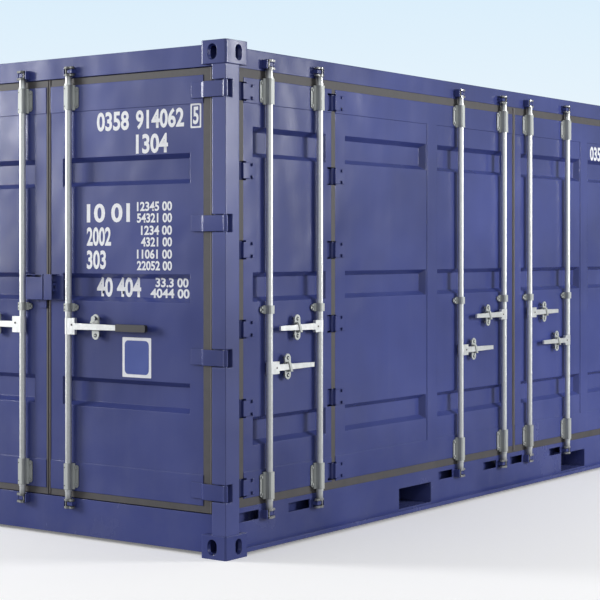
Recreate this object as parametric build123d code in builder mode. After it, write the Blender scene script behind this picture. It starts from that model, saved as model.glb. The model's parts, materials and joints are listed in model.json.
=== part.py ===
from build123d import *
import math
import os

# A steel freight container, six metres long, that opens at one end and along one side.
# +X runs from the door end to the plain front end, -Y is the side with the folding doors,
# +Z is up, and the origin is on the ground under the middle. All sizes are in millimetres.

# Overall size, held by the corner castings
LENGTH = 6058.0
WIDTH = 2438.0
HEIGHT = 2591.0

# Corner castings, with one oval hole in each outer face
CASTING_LENGTH = 178.0
CASTING_WIDTH = 162.0
CASTING_HEIGHT = 118.0
CASTING_WALL = 26.0
CASTING_INNER_WALL = 12.0
CASTING_CORNER = 12.0
HOLE_FROM_END = 101.5
HOLE_FROM_SIDE = 89.0
END_HOLE_WIDTH = 60.0
SIDE_HOLE_WIDTH = 51.0
UPRIGHT_HOLE_HEIGHT = 79.5
LEVEL_HOLE_LENGTH = 124.0
LEVEL_HOLE_WIDTH = 63.5

# Set-backs from the outer planes that the castings make
POST_SETBACK = 6.0
DOOR_FACE = 46.0
GASKET_FACE = 49.0
GASKET_DEPTH = 14.0
LEAF_DEPTH = 50.0
CLEARANCE = 5.0
OVERCUT = 1.0

# Corner posts: the post beside the folding doors is the wide one
POST_WALL = 6.0
POST_DEPTH = 114.0
NEAR_POST_FACE = 94.0
FAR_POST_FACE = 49.0
FRONT_POST_FACE = 114.0
STOP_WIDTH = 50.0
STOP_GAUGE = 10.0

# Rails between the castings; the drops are from the top of the castings
RAIL_WALL = 6.0
HEADER_DROP = 14.0
HEADER_HEIGHT = 110.0
SILL_BOTTOM = 19.0
SILL_TOP = 213.0
TOP_RAIL_DROP = 29.0
TOP_RAIL_HEIGHT = 98.0
BOTTOM_RAIL_BOTTOM = 18.0
BOTTOM_RAIL_TOP = 239.0
RAIL_FOOT_REACH = 38.0
RAIL_FOOT_GAUGE = 6.0
RAIL_LIP_HEIGHT = 22.0
WIDE_LEAF_HAND_HOLE = 160.0
NARROW_LEAF_HAND_HOLE = 190.0
HAND_HOLE_FROM_ROD = 60.0
HAND_HOLE_SPAN = (165.0, 212.0)
FAR_RAIL_DEPTH = 60.0
FAR_TOP_RAIL_HEIGHT = 60.0
FAR_BOTTOM_RAIL_TOP = 205.0
FRONT_RAIL_DEPTH = 60.0
FRONT_TOP_RAIL_HEIGHT = 90.0
FRONT_SILL_TOP = 177.0

# Fork pockets right through the base
POCKET_LENGTH = 350.0
POCKET_HEIGHT = 118.0
POCKET_BOTTOM = 44.0
POCKET_CENTRES = (-1195.0, 841.0)
POCKET_WALL = 6.0

# Floor and cross members
FLOOR_TOP = 205.0
FLOOR_GAUGE = 28.0
CROSS_MEMBER_HEIGHT = 128.0
CROSS_MEMBER_FLANGE = 45.0
CROSS_MEMBER_GAUGE = 4.0
CROSS_MEMBER_SPACING = 305.0

# Corrugated sheets
SHEET_GAUGE = 2.0
SIDE_PITCH = 278.0
SIDE_DEPTH = 36.0
SIDE_SLOPE = 68.0
FRONT_PITCH = 250.0
FRONT_DEPTH = 45.0
FRONT_SLOPE = 18.0
SHEET_SETBACK = 8.0
ROOF_PITCH = 209.0
ROOF_DEPTH = 20.0
ROOF_TROUGH_WIDTH = 91.0
ROOF_MARGIN = 90.0

# Pressed door leaves; a band's values are its gap to the nearer fold and its height
LEAF_STEP = 3.0
LEAF_GAUGE = 3.0
LEAF_STILE = 60.0
BAND_DEPTH = 36.0
BAND_SLOPE = 24.0

# Folding side doors: four leaves about the middle of the side
SIDE_LEAF_GAP_LOW = 43.0
SIDE_LEAF_GAP_HIGH = 46.0
SIDE_FOLD_INSET_LOW = 133.0
SIDE_FOLD_INSET_HIGH = 127.0
SIDE_BAND_LOW = (130.0, 145.0)
SIDE_BAND_MIDDLE = 150.0
SIDE_BAND_HIGH = (119.0, 155.0)
POST_GASKET = 87.0
HINGE_GASKET = 36.0
MIDDLE_GASKET = 34.0
NARROW_LEAF_WIDTH = 778.0
NARROW_BAND_MARGINS = (79.0, 53.0)
WIDE_BAND_MARGINS = (96.0, 82.0)
WIDE_STILE_WIDTH = 108.0
WIDE_STILE_FROM_MIDDLE = 953.0
STILE_BAND_GAP = 11.0

# Hinges of the side doors: barrels in recesses, with a lug plate on the next leaf
SIDE_HINGE_INSET_LOW = 55.0
SIDE_HINGE_INSET_HIGH = 71.0
SIDE_HINGE_COUNT = 6
RECESS_HEIGHT = 96.0
RECESS_DEPTH = 30.0
POST_LINE_RECESS = 24.0
POST_LINE_SEAL = 26.0
FOLD_LINE_RECESS = 38.0
WIDE_LEAF_RECESS = 9.0
BARREL_RADIUS = 10.0
BARREL_HEIGHT = 88.0
BARREL_SETBACK = 8.0
BARREL_OFFSET = 11.0
HINGE_PLATE = 8.0
LUG_GAUGE = 8.0
LUG_HEIGHT = 80.0
POST_LUG_WIDTH = 61.0
FOLD_LUG_WIDTH = 73.0
LUG_NOTCH_WIDTH = 20.0
LUG_NOTCH_HEIGHT = 16.0

# End doors: they meet a little off the middle, because the near post is wider
DOOR_MEETING = 50.0
SEAM_GAP = 8.0
SEAM_GASKET = 13.0
END_LEAF_GAP_LOW = 40.0
END_LEAF_GAP_HIGH = 41.0
END_FOLD_INSET_LOW = 153.0
END_FOLD_INSET_HIGH = 142.0
END_BAND_LOW = (304.0, 154.0)
END_BAND_MIDDLE = 146.0
END_BAND_HIGH = (249.0, 154.0)
END_BAND_MARGIN = 88.0
NEAR_EDGE_GASKET = 85.0
FAR_EDGE_GASKET = 35.0
END_HINGE_INSET = 77.0
END_HINGE_COUNT = 4
BLADE_HEIGHT = 80.0
BLADE_GAUGE = 10.0
BLADE_FOOT = 72.0
BLADE_BEND = 30.0
PIN_INSET = 16.0
PIN_RADIUS = 8.0
KNUCKLE_RADIUS = 13.0
NOTCH_LENGTH = 60.0
NOTCH_DEPTH = 40.0
END_ROD_OFFSET = 173.0

# Lock rods and their places along the side, from the edges of the leaves and from the middle
ROD_RADIUS = 17.0
ROD_SETBACK = 22.0
COLLAR_RADIUS = 19.5
COLLAR_HEIGHT = 10.0
NARROW_ROD_INSET_OUTER = 186.0
NARROW_ROD_INSET_INNER = 145.0
WIDE_ROD_FROM_MIDDLE = 711.0
MIDDLE_ROD_FROM_MIDDLE = 171.0

# Cams on the rods' ends, clips with a mouth towards the keeper's tongue
TOP_CAM_DROP = 93.0
BOTTOM_CAM_LEVEL = 186.0
CAM_HEIGHT = 50.0
CAM_RADIUS = 19.0
CAM_NOSE = 38.0
CAM_NOSE_HALF = 12.0
CAM_NOSE_BEVEL = 6.0
CAM_SPUR = (19.0, 13.0)
JAW_GAUGE = 11.0
CAM_BACK_SPAN = (10.0, 17.0)
CAM_BACK_HALF = 8.0
KEEPER_HEIGHT = 46.0
KEEPER_INNER = 25.0
KEEPER_GAUGE = 8.0
KEEPER_BASE = 3.0
KEEPER_FACE = 14.0
TONGUE_REACH = 5.0
TONGUE_HALF = 6.0
JAW_GAP = 4.0

# Bearings of the rods: a channel over the rod, a web down to a bolted strip, and a lip on the other side
BEARING_WALL = 3.5
BEARING_GAP = 0.5
BEARING_CORNER = 7.0
TOP_BEARING_INSET = 1.0
TOP_BEARING_HEIGHT = 134.0
BOTTOM_BEARING_INSET = 9.0
BOTTOM_BEARING_HEIGHT = 139.0
MIDDLE_BEARING = (1215.0, 1257.0)
WEB_DROP = 6.0
STRIP_START = 28.0
STRIP_END = 54.0
STRIP_GAUGE = 6.0
STRIP_INSET = 10.0
STRIP_CORNER = 9.0
LIP_REACH = 9.0

# Handles and the catches that hold them
HUB_REACH = 62.0
SIDE_HUB_HEIGHT = 64.0
END_HUB_HEIGHT = 88.0
HANDLE_GAUGE = 11.0
HANDLE_HEIGHT = 34.0
HANDLE_TIP = 24.0
HANDLE_LENGTH = 372.0
END_HANDLE_LENGTH = 355.0
GRIP_LENGTH = 200.0
GRIP_HEIGHT = 38.0
GRIP_GAUGE = 20.0
GRIP_OFFSET = 2.0
GRIP_CORNER = 6.0
HIGH_HANDLE = 1136.0
LOW_HANDLE = 934.0
CATCH_WIDTH = 50.0
CATCH_HEIGHT = 134.0
CATCH_GAUGE = 6.0
CATCH_HOLE = 11.0
CATCH_HOLE_SPACING = 90.0
HANDLE_FACE = 4.0
STRAP_WIDTH = 18.0
STRAP_LEAN = 20.0
NARROW_CATCH = 157.0
WIDE_CATCH = 205.0
END_CATCH = 198.0

# Lock box over the seam of the end doors, open underneath and towards the near side
BOX_BOTTOM = 1274.0
BOX_TOP = 1412.0
BOX_WALL = 4.0
BOX_FACE = 5.0
BOX_FAR_REACH = 127.0
BOX_NEAR_REACH = 60.0
BOX_SLOT_HEIGHT = 12.0
BOX_SLOT_LENGTH = 112.0
BOX_LUG_HEIGHT = 46.0
BOX_LUG_WIDTH = 50.0
HASP_REACH = 55.0
EYE_HEIGHT = 44.0
EYE_RADIUS = 9.0

# Derived places
HALF_LENGTH = LENGTH / 2
HALF_WIDTH = WIDTH / 2
CASTING_END = HALF_LENGTH - CASTING_LENGTH
CASTING_SIDE = HALF_WIDTH - CASTING_WIDTH
STOP_SETBACK = DOOR_FACE + LEAF_DEPTH + CLEARANCE
POST_HEIGHT = HEIGHT - 2 * CASTING_HEIGHT
NEAR_JAMB = HALF_WIDTH - NEAR_POST_FACE
FAR_JAMB = HALF_WIDTH - FAR_POST_FACE
FRONT_JAMB = HALF_WIDTH - FRONT_POST_FACE
SIDE_JAMB = HALF_LENGTH - POST_DEPTH
HEADER_TOP = HEIGHT - HEADER_DROP
HEADER_BOTTOM = HEADER_TOP - HEADER_HEIGHT
TOP_RAIL_TOP = HEIGHT - TOP_RAIL_DROP
TOP_RAIL_BOTTOM = TOP_RAIL_TOP - TOP_RAIL_HEIGHT
FRONT_TOP_RAIL_BOTTOM = HEADER_TOP - FRONT_TOP_RAIL_HEIGHT
END_LEAF_BOTTOM = SILL_TOP + END_LEAF_GAP_LOW
END_LEAF_TOP = HEADER_BOTTOM - END_LEAF_GAP_HIGH
SIDE_LEAF_BOTTOM = BOTTOM_RAIL_TOP + SIDE_LEAF_GAP_LOW
SIDE_LEAF_TOP = TOP_RAIL_BOTTOM - SIDE_LEAF_GAP_HIGH
SIDE_RISE = (SIDE_LEAF_BOTTOM, SIDE_LEAF_TOP)
SIDE_FOLDS = (SIDE_LEAF_BOTTOM + SIDE_FOLD_INSET_LOW, SIDE_LEAF_TOP - SIDE_FOLD_INSET_HIGH)
END_RISE = (END_LEAF_BOTTOM, END_LEAF_TOP)
END_FOLDS = (END_LEAF_BOTTOM + END_FOLD_INSET_LOW, END_LEAF_TOP - END_FOLD_INSET_HIGH)
NARROW_LEAF_START = SIDE_JAMB - POST_GASKET
NARROW_LEAF_END = NARROW_LEAF_START - NARROW_LEAF_WIDTH
WIDE_LEAF_START = NARROW_LEAF_END - HINGE_GASKET
WIDE_LEAF_END = MIDDLE_GASKET / 2
NEAR_LEAF_EDGE = -NEAR_JAMB + NEAR_EDGE_GASKET + CLEARANCE
NEAR_LEAF_FREE = DOOR_MEETING - SEAM_GAP / 2 - SEAM_GASKET
FAR_LEAF_EDGE = FAR_JAMB - FAR_EDGE_GASKET - CLEARANCE
FAR_LEAF_FREE = DOOR_MEETING + SEAM_GAP / 2 + SEAM_GASKET
TOP_CAM_LEVEL = HEIGHT - TOP_CAM_DROP
TOP_BEARING = (END_LEAF_TOP - TOP_BEARING_INSET - TOP_BEARING_HEIGHT, END_LEAF_TOP - TOP_BEARING_INSET)
BOTTOM_BEARING = (
    END_LEAF_BOTTOM + BOTTOM_BEARING_INSET,
    END_LEAF_BOTTOM + BOTTOM_BEARING_INSET + BOTTOM_BEARING_HEIGHT,
)


def spread(low, high, count):
    """Levels from low to high, evenly apart."""
    return [low + k * (high - low) / (count - 1) for k in range(count)]


def bands(folds, low, middle, high):
    """Three pressed bands between two folds: one low, one in the middle and one high."""
    centre = (folds[0] + folds[1]) / 2
    return (
        (folds[0] + low[0], folds[0] + low[0] + low[1]),
        (centre - middle / 2, centre + middle / 2),
        (folds[1] - high[0] - high[1], folds[1] - high[0]),
    )


END_HINGE_LEVELS = spread(END_LEAF_BOTTOM + END_HINGE_INSET, END_LEAF_TOP - END_HINGE_INSET, END_HINGE_COUNT)
SIDE_HINGE_LEVELS = spread(
    SIDE_LEAF_BOTTOM + SIDE_HINGE_INSET_LOW, SIDE_LEAF_TOP - SIDE_HINGE_INSET_HIGH, SIDE_HINGE_COUNT
)
SIDE_BANDS = bands(SIDE_FOLDS, SIDE_BAND_LOW, SIDE_BAND_MIDDLE, SIDE_BAND_HIGH)
END_BANDS = bands(END_FOLDS, END_BAND_LOW, END_BAND_MIDDLE, END_BAND_HIGH)

# Gear of the side doors, two rods to a half-leaf pair: place along the side, the way that its
# handle points, the handle's level, the catch's distance and the length of the hand hole beside it
SIDE_GEAR = []
for side in (-1, 1):
    for place, inboard, level, catch, hole in (
        (NARROW_LEAF_START - NARROW_ROD_INSET_OUTER, True, LOW_HANDLE, NARROW_CATCH, NARROW_LEAF_HAND_HOLE),
        (NARROW_LEAF_END + NARROW_ROD_INSET_INNER, False, HIGH_HANDLE, WIDE_CATCH, NARROW_LEAF_HAND_HOLE),
        (WIDE_ROD_FROM_MIDDLE, True, LOW_HANDLE, NARROW_CATCH, WIDE_LEAF_HAND_HOLE),
        (MIDDLE_ROD_FROM_MIDDLE, False, HIGH_HANDLE, WIDE_CATCH, WIDE_LEAF_HAND_HOLE),
    ):
        SIDE_GEAR.append((side * place, -side if inboard else side, level, catch, hole))

os.makedirs("parts", exist_ok=True)


def save(piece, name):
    piece.label = name
    export_step(piece, f"parts/{name}.step")


def block(x_span, y_span, z_span, mode=Mode.ADD):
    """Add or cut a block between a low and a high value on each axis."""
    spans = (x_span, y_span, z_span)
    middle = [(low + high) / 2 for low, high in spans]
    with Locations(tuple(middle)):
        Box(*[abs(high - low) for low, high in spans], mode=mode)


def area(u_span, v_span, mode=Mode.ADD):
    """Add or cut a rectangle of a sketch between a low and a high value on each axis."""
    with Locations(((u_span[0] + u_span[1]) / 2, (v_span[0] + v_span[1]) / 2)):
        Rectangle(abs(u_span[1] - u_span[0]), abs(v_span[1] - v_span[0]), mode=mode)


def about(middle, half):
    return (middle - half, middle + half)


def inward(setback):
    """Plane at a set-back behind a door's outer plane, seen from inside: its X runs towards -X."""
    return Plane(origin=(0, setback, 0), x_dir=(-1, 0, 0), z_dir=(0, 1, 0))


def on_side(x):
    """Place of a door fitting, drawn about X = 0 on an outer plane at Y = 0, on the near side."""
    return Location((x, -HALF_WIDTH, 0))


def on_end(y):
    """Place of the same fitting on the door end, turned to face -X."""
    return Location((-HALF_LENGTH, y, 0), (0, 0, -90))


def from_end(end, low, high):
    return (end * (HALF_LENGTH - low), end * (HALF_LENGTH - high))


def from_side(side, low, high):
    return (side * (HALF_WIDTH - low), side * (HALF_WIDTH - high))


def cut_for_castings():
    """Cut the piece being built away where the corner castings are."""
    for end in (-1, 1):
        for side in (-1, 1):
            for level in ((0, CASTING_HEIGHT), (HEIGHT - CASTING_HEIGHT, HEIGHT)):
                block(
                    from_end(end, 0, CASTING_LENGTH),
                    from_side(side, 0, CASTING_WIDTH),
                    level,
                    mode=Mode.SUBTRACT,
                )


# Corner castings: thick outer walls with the oval holes, thinner walls towards the rails
def corner_castings(end):
    with BuildPart() as castings:
        for side in (-1, 1):
            for level in (0, 1):
                x = end * (HALF_LENGTH - CASTING_LENGTH / 2)
                y = side * (HALF_WIDTH - CASTING_WIDTH / 2)
                hole_x = end * (HALF_LENGTH - HOLE_FROM_END)
                hole_y = side * (HALF_WIDTH - HOLE_FROM_SIDE)
                z = CASTING_HEIGHT / 2 + level * (HEIGHT - CASTING_HEIGHT)
                with BuildSketch(Plane.XY.offset(z - CASTING_HEIGHT / 2)):
                    with Locations((x, y)):
                        RectangleRounded(CASTING_LENGTH, CASTING_WIDTH, CASTING_CORNER)
                extrude(amount=CASTING_HEIGHT)
                block(
                    from_end(end, CASTING_WALL, CASTING_LENGTH - CASTING_INNER_WALL),
                    from_side(side, CASTING_WALL, CASTING_WIDTH - CASTING_INNER_WALL),
                    about(z, CASTING_HEIGHT / 2 - CASTING_WALL),
                    mode=Mode.SUBTRACT,
                )
                outward = 2 * level - 1
                level_face = (hole_x, hole_y, z + outward * CASTING_HEIGHT / 2)
                with BuildSketch(Plane(level_face, x_dir=(1, 0, 0), z_dir=(0, 0, outward))):
                    SlotOverall(LEVEL_HOLE_LENGTH, LEVEL_HOLE_WIDTH)
                extrude(amount=-CASTING_WALL - OVERCUT, mode=Mode.SUBTRACT)
                with BuildSketch(Plane((end * HALF_LENGTH, hole_y, z), x_dir=(0, 1, 0), z_dir=(end, 0, 0))):
                    SlotOverall(UPRIGHT_HOLE_HEIGHT, END_HOLE_WIDTH, rotation=90)
                extrude(amount=-CASTING_WALL - OVERCUT, mode=Mode.SUBTRACT)
                with BuildSketch(Plane((hole_x, side * HALF_WIDTH, z), x_dir=(1, 0, 0), z_dir=(0, side, 0))):
                    SlotOverall(UPRIGHT_HOLE_HEIGHT, SIDE_HOLE_WIDTH, rotation=90)
                extrude(amount=-CASTING_WALL - OVERCUT, mode=Mode.SUBTRACT)
    return castings.part


save(corner_castings(-1), "door_end_castings")
save(corner_castings(1), "front_end_castings")


# Corner posts: hollow sections with door stops, notched for the hinges of the end doors
def hollow_post(end, side, face):
    """Add a hollow post, from casting to casting, to the part being built."""
    with BuildSketch(Plane.XY.offset(CASTING_HEIGHT)) as section:
        area(from_end(end, POST_SETBACK, POST_DEPTH), from_side(side, POST_SETBACK, face))
        area(
            from_end(end, POST_SETBACK + POST_WALL, POST_DEPTH - POST_WALL),
            from_side(side, POST_SETBACK + POST_WALL, face - POST_WALL),
            mode=Mode.SUBTRACT,
        )
    extrude(section.sketch, amount=POST_HEIGHT)


def door_post(side, face):
    stop = (STOP_SETBACK, STOP_SETBACK + STOP_GAUGE)
    with BuildPart() as post:
        hollow_post(-1, side, face)
        block(from_end(-1, *stop), from_side(side, face, face + STOP_WIDTH), (SILL_TOP, HEADER_BOTTOM))
        if side < 0:
            block(
                from_end(-1, STOP_SETBACK, POST_DEPTH + STOP_WIDTH),
                from_side(side, *stop),
                (BOTTOM_RAIL_TOP, TOP_RAIL_BOTTOM),
            )
        for level in END_HINGE_LEVELS:
            reach = BLADE_HEIGHT / 2 + CLEARANCE
            notch = about(level, reach)
            block(
                from_end(-1, POST_SETBACK, NOTCH_LENGTH + POST_WALL),
                from_side(side, POST_SETBACK, face),
                about(level, reach + POST_WALL),
            )
            blade_room = PIN_INSET + BLADE_GAUGE / 2 + CLEARANCE
            block(from_end(-1, 0, blade_room), from_side(side, 0, face), notch, mode=Mode.SUBTRACT)
            block(
                from_end(-1, 0, NOTCH_LENGTH),
                from_side(side, 0, min(NOTCH_DEPTH, face - POST_WALL)),
                notch,
                mode=Mode.SUBTRACT,
            )
            with Locations((-HALF_LENGTH + PIN_INSET, side * (HALF_WIDTH - PIN_INSET), level)):
                Cylinder(PIN_RADIUS, 2 * reach + 2 * POST_WALL)
    return post.part


save(door_post(-1, NEAR_POST_FACE), "door_post_near")
save(door_post(1, FAR_POST_FACE), "door_post_far")

with BuildPart() as front_posts:
    for side in (-1, 1):
        hollow_post(1, side, FRONT_POST_FACE)
    block(
        from_end(1, POST_DEPTH, POST_DEPTH + STOP_WIDTH),
        from_side(-1, STOP_SETBACK, STOP_SETBACK + STOP_GAUGE),
        (BOTTOM_RAIL_TOP, TOP_RAIL_BOTTOM),
    )
save(front_posts.part, "front_posts")


# Header and sill of the end doors, boxed rails from post to post with a stop behind the leaves
def door_rail(span, stop_span):
    with BuildPart() as rail:
        block(from_end(-1, DOOR_FACE, POST_DEPTH), (-NEAR_JAMB, FAR_JAMB), span)
        block(
            from_end(-1, DOOR_FACE + RAIL_WALL, POST_DEPTH - RAIL_WALL),
            (-NEAR_JAMB, FAR_JAMB),
            (span[0] + RAIL_WALL, span[1] - RAIL_WALL),
            mode=Mode.SUBTRACT,
        )
        block(
            from_end(-1, STOP_SETBACK, STOP_SETBACK + STOP_GAUGE),
            (STOP_WIDTH - NEAR_JAMB, FAR_JAMB - STOP_WIDTH),
            stop_span,
        )
        cut_for_castings()
    return rail.part


save(door_rail((HEADER_BOTTOM, HEADER_TOP), (END_LEAF_TOP - STOP_GAUGE, HEADER_BOTTOM)), "door_header")
save(door_rail((SILL_BOTTOM, SILL_TOP), (SILL_TOP, END_LEAF_BOTTOM + STOP_GAUGE)), "door_sill")

# Rails of the front end
with BuildPart() as front_rails:
    for span in ((FRONT_TOP_RAIL_BOTTOM, HEADER_TOP), (SILL_BOTTOM, FRONT_SILL_TOP)):
        block(
            from_end(1, POST_SETBACK, POST_SETBACK + FRONT_RAIL_DEPTH),
            (-FRONT_JAMB, FRONT_JAMB),
            span,
        )
        block(
            from_end(1, POST_SETBACK + RAIL_WALL, POST_SETBACK + FRONT_RAIL_DEPTH - RAIL_WALL),
            (-FRONT_JAMB, FRONT_JAMB),
            (span[0] + RAIL_WALL, span[1] - RAIL_WALL),
            mode=Mode.SUBTRACT,
        )
    cut_for_castings()
save(front_rails.part, "front_rails")

# Side rails: the near pair frames the folding doors
POCKET_OUTER_LENGTH = POCKET_LENGTH + 2 * POCKET_WALL
POCKET_SPAN = (POCKET_BOTTOM - POCKET_WALL, POCKET_BOTTOM + POCKET_HEIGHT + POCKET_WALL)
SIDE_STOP_RUN = (STOP_WIDTH - SIDE_JAMB, SIDE_JAMB - STOP_WIDTH)


def near_rail(span, stop_span):
    """Boxed rail in front of the floor, with a stop behind the folding doors."""
    block((-SIDE_JAMB, SIDE_JAMB), from_side(-1, DOOR_FACE, POST_DEPTH), span)
    block(
        (-SIDE_JAMB, SIDE_JAMB),
        from_side(-1, DOOR_FACE + RAIL_WALL, POST_DEPTH - RAIL_WALL),
        (span[0] + RAIL_WALL, span[1] - RAIL_WALL),
        mode=Mode.SUBTRACT,
    )
    block(SIDE_STOP_RUN, from_side(-1, STOP_SETBACK, STOP_SETBACK + STOP_GAUGE), stop_span)


def cut_for_pockets(y_span):
    for centre in POCKET_CENTRES:
        block(about(centre, POCKET_OUTER_LENGTH / 2), y_span, POCKET_SPAN, mode=Mode.SUBTRACT)


with BuildPart() as top_rail_near:
    near_rail((TOP_RAIL_BOTTOM, TOP_RAIL_TOP), (SIDE_LEAF_TOP - STOP_GAUGE, TOP_RAIL_BOTTOM))
    cut_for_castings()
save(top_rail_near.part, "top_rail_near")

with BuildPart() as bottom_rail_near:
    near_rail((BOTTOM_RAIL_BOTTOM, BOTTOM_RAIL_TOP), (BOTTOM_RAIL_TOP, SIDE_LEAF_BOTTOM + STOP_GAUGE))
    foot = DOOR_FACE - RAIL_FOOT_REACH
    block(
        (-CASTING_END, CASTING_END),
        from_side(-1, foot, DOOR_FACE),
        (BOTTOM_RAIL_BOTTOM, BOTTOM_RAIL_BOTTOM + RAIL_FOOT_GAUGE),
    )
    block(
        (-CASTING_END, CASTING_END),
        from_side(-1, foot, foot + RAIL_FOOT_GAUGE),
        (BOTTOM_RAIL_BOTTOM, BOTTOM_RAIL_BOTTOM + RAIL_LIP_HEIGHT),
    )
    cut_for_castings()
    cut_for_pockets(from_side(-1, DOOR_FACE - OVERCUT, POST_DEPTH + OVERCUT))
    for x, hand, level, catch, hole in SIDE_GEAR:
        block(
            (x - HAND_HOLE_FROM_ROD - hole, x - HAND_HOLE_FROM_ROD),
            from_side(-1, DOOR_FACE - OVERCUT, DOOR_FACE + RAIL_WALL + OVERCUT),
            HAND_HOLE_SPAN,
            mode=Mode.SUBTRACT,
        )
save(bottom_rail_near.part, "bottom_rail_near")

FAR_RAIL = (POST_SETBACK, POST_SETBACK + FAR_RAIL_DEPTH)
FAR_TOP_RAIL_BOTTOM = TOP_RAIL_TOP - FAR_TOP_RAIL_HEIGHT
with BuildPart() as top_rail_far:
    block((-CASTING_END, CASTING_END), from_side(1, *FAR_RAIL), (FAR_TOP_RAIL_BOTTOM, TOP_RAIL_TOP))
    block(
        (-CASTING_END, CASTING_END),
        from_side(1, FAR_RAIL[0] + RAIL_WALL, FAR_RAIL[1] - RAIL_WALL),
        (FAR_TOP_RAIL_BOTTOM + RAIL_WALL, TOP_RAIL_TOP - RAIL_WALL),
        mode=Mode.SUBTRACT,
    )
save(top_rail_far.part, "top_rail_far")

with BuildPart() as bottom_rail_far:
    block((-SIDE_JAMB, SIDE_JAMB), from_side(1, *FAR_RAIL), (BOTTOM_RAIL_BOTTOM, FAR_BOTTOM_RAIL_TOP))
    block(
        (-SIDE_JAMB, SIDE_JAMB),
        from_side(1, FAR_RAIL[0] + RAIL_WALL, FAR_RAIL[1] + OVERCUT),
        (BOTTOM_RAIL_BOTTOM + RAIL_WALL, FAR_BOTTOM_RAIL_TOP - RAIL_WALL),
        mode=Mode.SUBTRACT,
    )
    cut_for_castings()
    cut_for_pockets(from_side(1, 0, FAR_RAIL[1] + OVERCUT))
save(bottom_rail_far.part, "bottom_rail_far")

# Fork pockets: rectangular tubes from one bottom rail to the other, flush with their webs
with BuildPart() as fork_pockets:
    for centre in POCKET_CENTRES:
        block(
            about(centre, POCKET_OUTER_LENGTH / 2),
            (-HALF_WIDTH + DOOR_FACE, HALF_WIDTH - POST_SETBACK),
            POCKET_SPAN,
        )
        block(
            about(centre, POCKET_LENGTH / 2),
            (-HALF_WIDTH, HALF_WIDTH),
            (POCKET_BOTTOM, POCKET_BOTTOM + POCKET_HEIGHT),
            mode=Mode.SUBTRACT,
        )
save(fork_pockets.part, "fork_pockets")

# Cross members under the floor, left out where a fork pocket runs
FLOOR_BOTTOM = FLOOR_TOP - FLOOR_GAUGE
CROSS_MEMBER_REACH = (-HALF_WIDTH + POST_DEPTH, HALF_WIDTH - FAR_RAIL[1])
CROSS_MEMBER_COUNT = int(2 * SIDE_JAMB // CROSS_MEMBER_SPACING) - 1
with BuildPart() as cross_members:
    for k in range(CROSS_MEMBER_COUNT):
        x = (k - (CROSS_MEMBER_COUNT - 1) / 2) * CROSS_MEMBER_SPACING
        if min(abs(x - centre) for centre in POCKET_CENTRES) < POCKET_OUTER_LENGTH / 2 + CROSS_MEMBER_FLANGE:
            continue
        bottom = FLOOR_BOTTOM - CROSS_MEMBER_HEIGHT
        web = (x, x + CROSS_MEMBER_GAUGE)
        flange = (x, x + CROSS_MEMBER_FLANGE)
        block(web, CROSS_MEMBER_REACH, (bottom, FLOOR_BOTTOM))
        block(flange, CROSS_MEMBER_REACH, (bottom, bottom + CROSS_MEMBER_GAUGE))
        block(flange, CROSS_MEMBER_REACH, (FLOOR_BOTTOM - CROSS_MEMBER_GAUGE, FLOOR_BOTTOM))
save(cross_members.part, "cross_members")

with BuildPart() as floor_boards:
    block((-SIDE_JAMB, SIDE_JAMB), CROSS_MEMBER_REACH, (FLOOR_BOTTOM, FLOOR_TOP))
    block(
        from_end(1, POST_SETBACK + FRONT_RAIL_DEPTH, POST_DEPTH),
        (-FRONT_JAMB, FRONT_JAMB),
        (FLOOR_BOTTOM, FLOOR_TOP),
    )
save(floor_boards.part, "floor_boards")


# Corrugated walls: one folded sheet each, drawn as a wave and given its thickness
def wave(start, end, pitch, depth, slope):
    """Points of a trapezoid wave from start to end, whole pitches centred between flat margins."""
    count = int((end - start) // pitch)
    margin = (end - start - count * pitch) / 2
    flat = pitch / 2 - slope
    points = [(start, 0)]
    for k in range(count):
        x = start + margin + k * pitch + flat / 2
        points += [(x, 0), (x + slope, depth), (x + slope + flat, depth), (x + 2 * slope + flat, 0)]
    return points + [(end, 0)]


def thick(points, gauge):
    return points + [(u, v + gauge) for u, v in reversed(points)]


with BuildPart() as side_wall:
    outline = thick(wave(-SIDE_JAMB, SIDE_JAMB, SIDE_PITCH, SIDE_DEPTH, SIDE_SLOPE), SHEET_GAUGE)
    with BuildSketch(Plane.XY.offset(FAR_BOTTOM_RAIL_TOP)):
        Polygon(*[(x, HALF_WIDTH - SHEET_SETBACK - y) for x, y in outline])
    extrude(amount=FAR_TOP_RAIL_BOTTOM - FAR_BOTTOM_RAIL_TOP)
    cut_for_castings()
save(side_wall.part, "side_wall")

with BuildPart() as front_wall:
    outline = thick(wave(-FRONT_JAMB, FRONT_JAMB, FRONT_PITCH, FRONT_DEPTH, FRONT_SLOPE), SHEET_GAUGE)
    with BuildSketch(Plane.XY.offset(FRONT_SILL_TOP)):
        Polygon(*[(HALF_LENGTH - SHEET_SETBACK - x, y) for y, x in outline])
    extrude(amount=FRONT_TOP_RAIL_BOTTOM - FRONT_SILL_TOP)
    cut_for_castings()
save(front_wall.part, "front_wall")


# Pressed sheets: a flat plate with tapered troughs pushed through it
def press(sheet_plane, troughs, depth, slope, gauge):
    """Press troughs, each a pair of spans, into the sheet of the part being built."""
    angle = math.degrees(math.atan2(slope, depth))
    with BuildSketch(sheet_plane) as outer:
        for (u_low, u_high), (v_low, v_high) in troughs:
            area((u_low - gauge, u_high + gauge), (v_low - gauge, v_high + gauge))
    with BuildSketch(sheet_plane) as inner:
        for u_span, v_span in troughs:
            area(u_span, v_span)
    extrude(outer.sketch, amount=depth + gauge, taper=angle)
    extrude(inner.sketch, amount=depth, taper=angle, mode=Mode.SUBTRACT)


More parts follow.
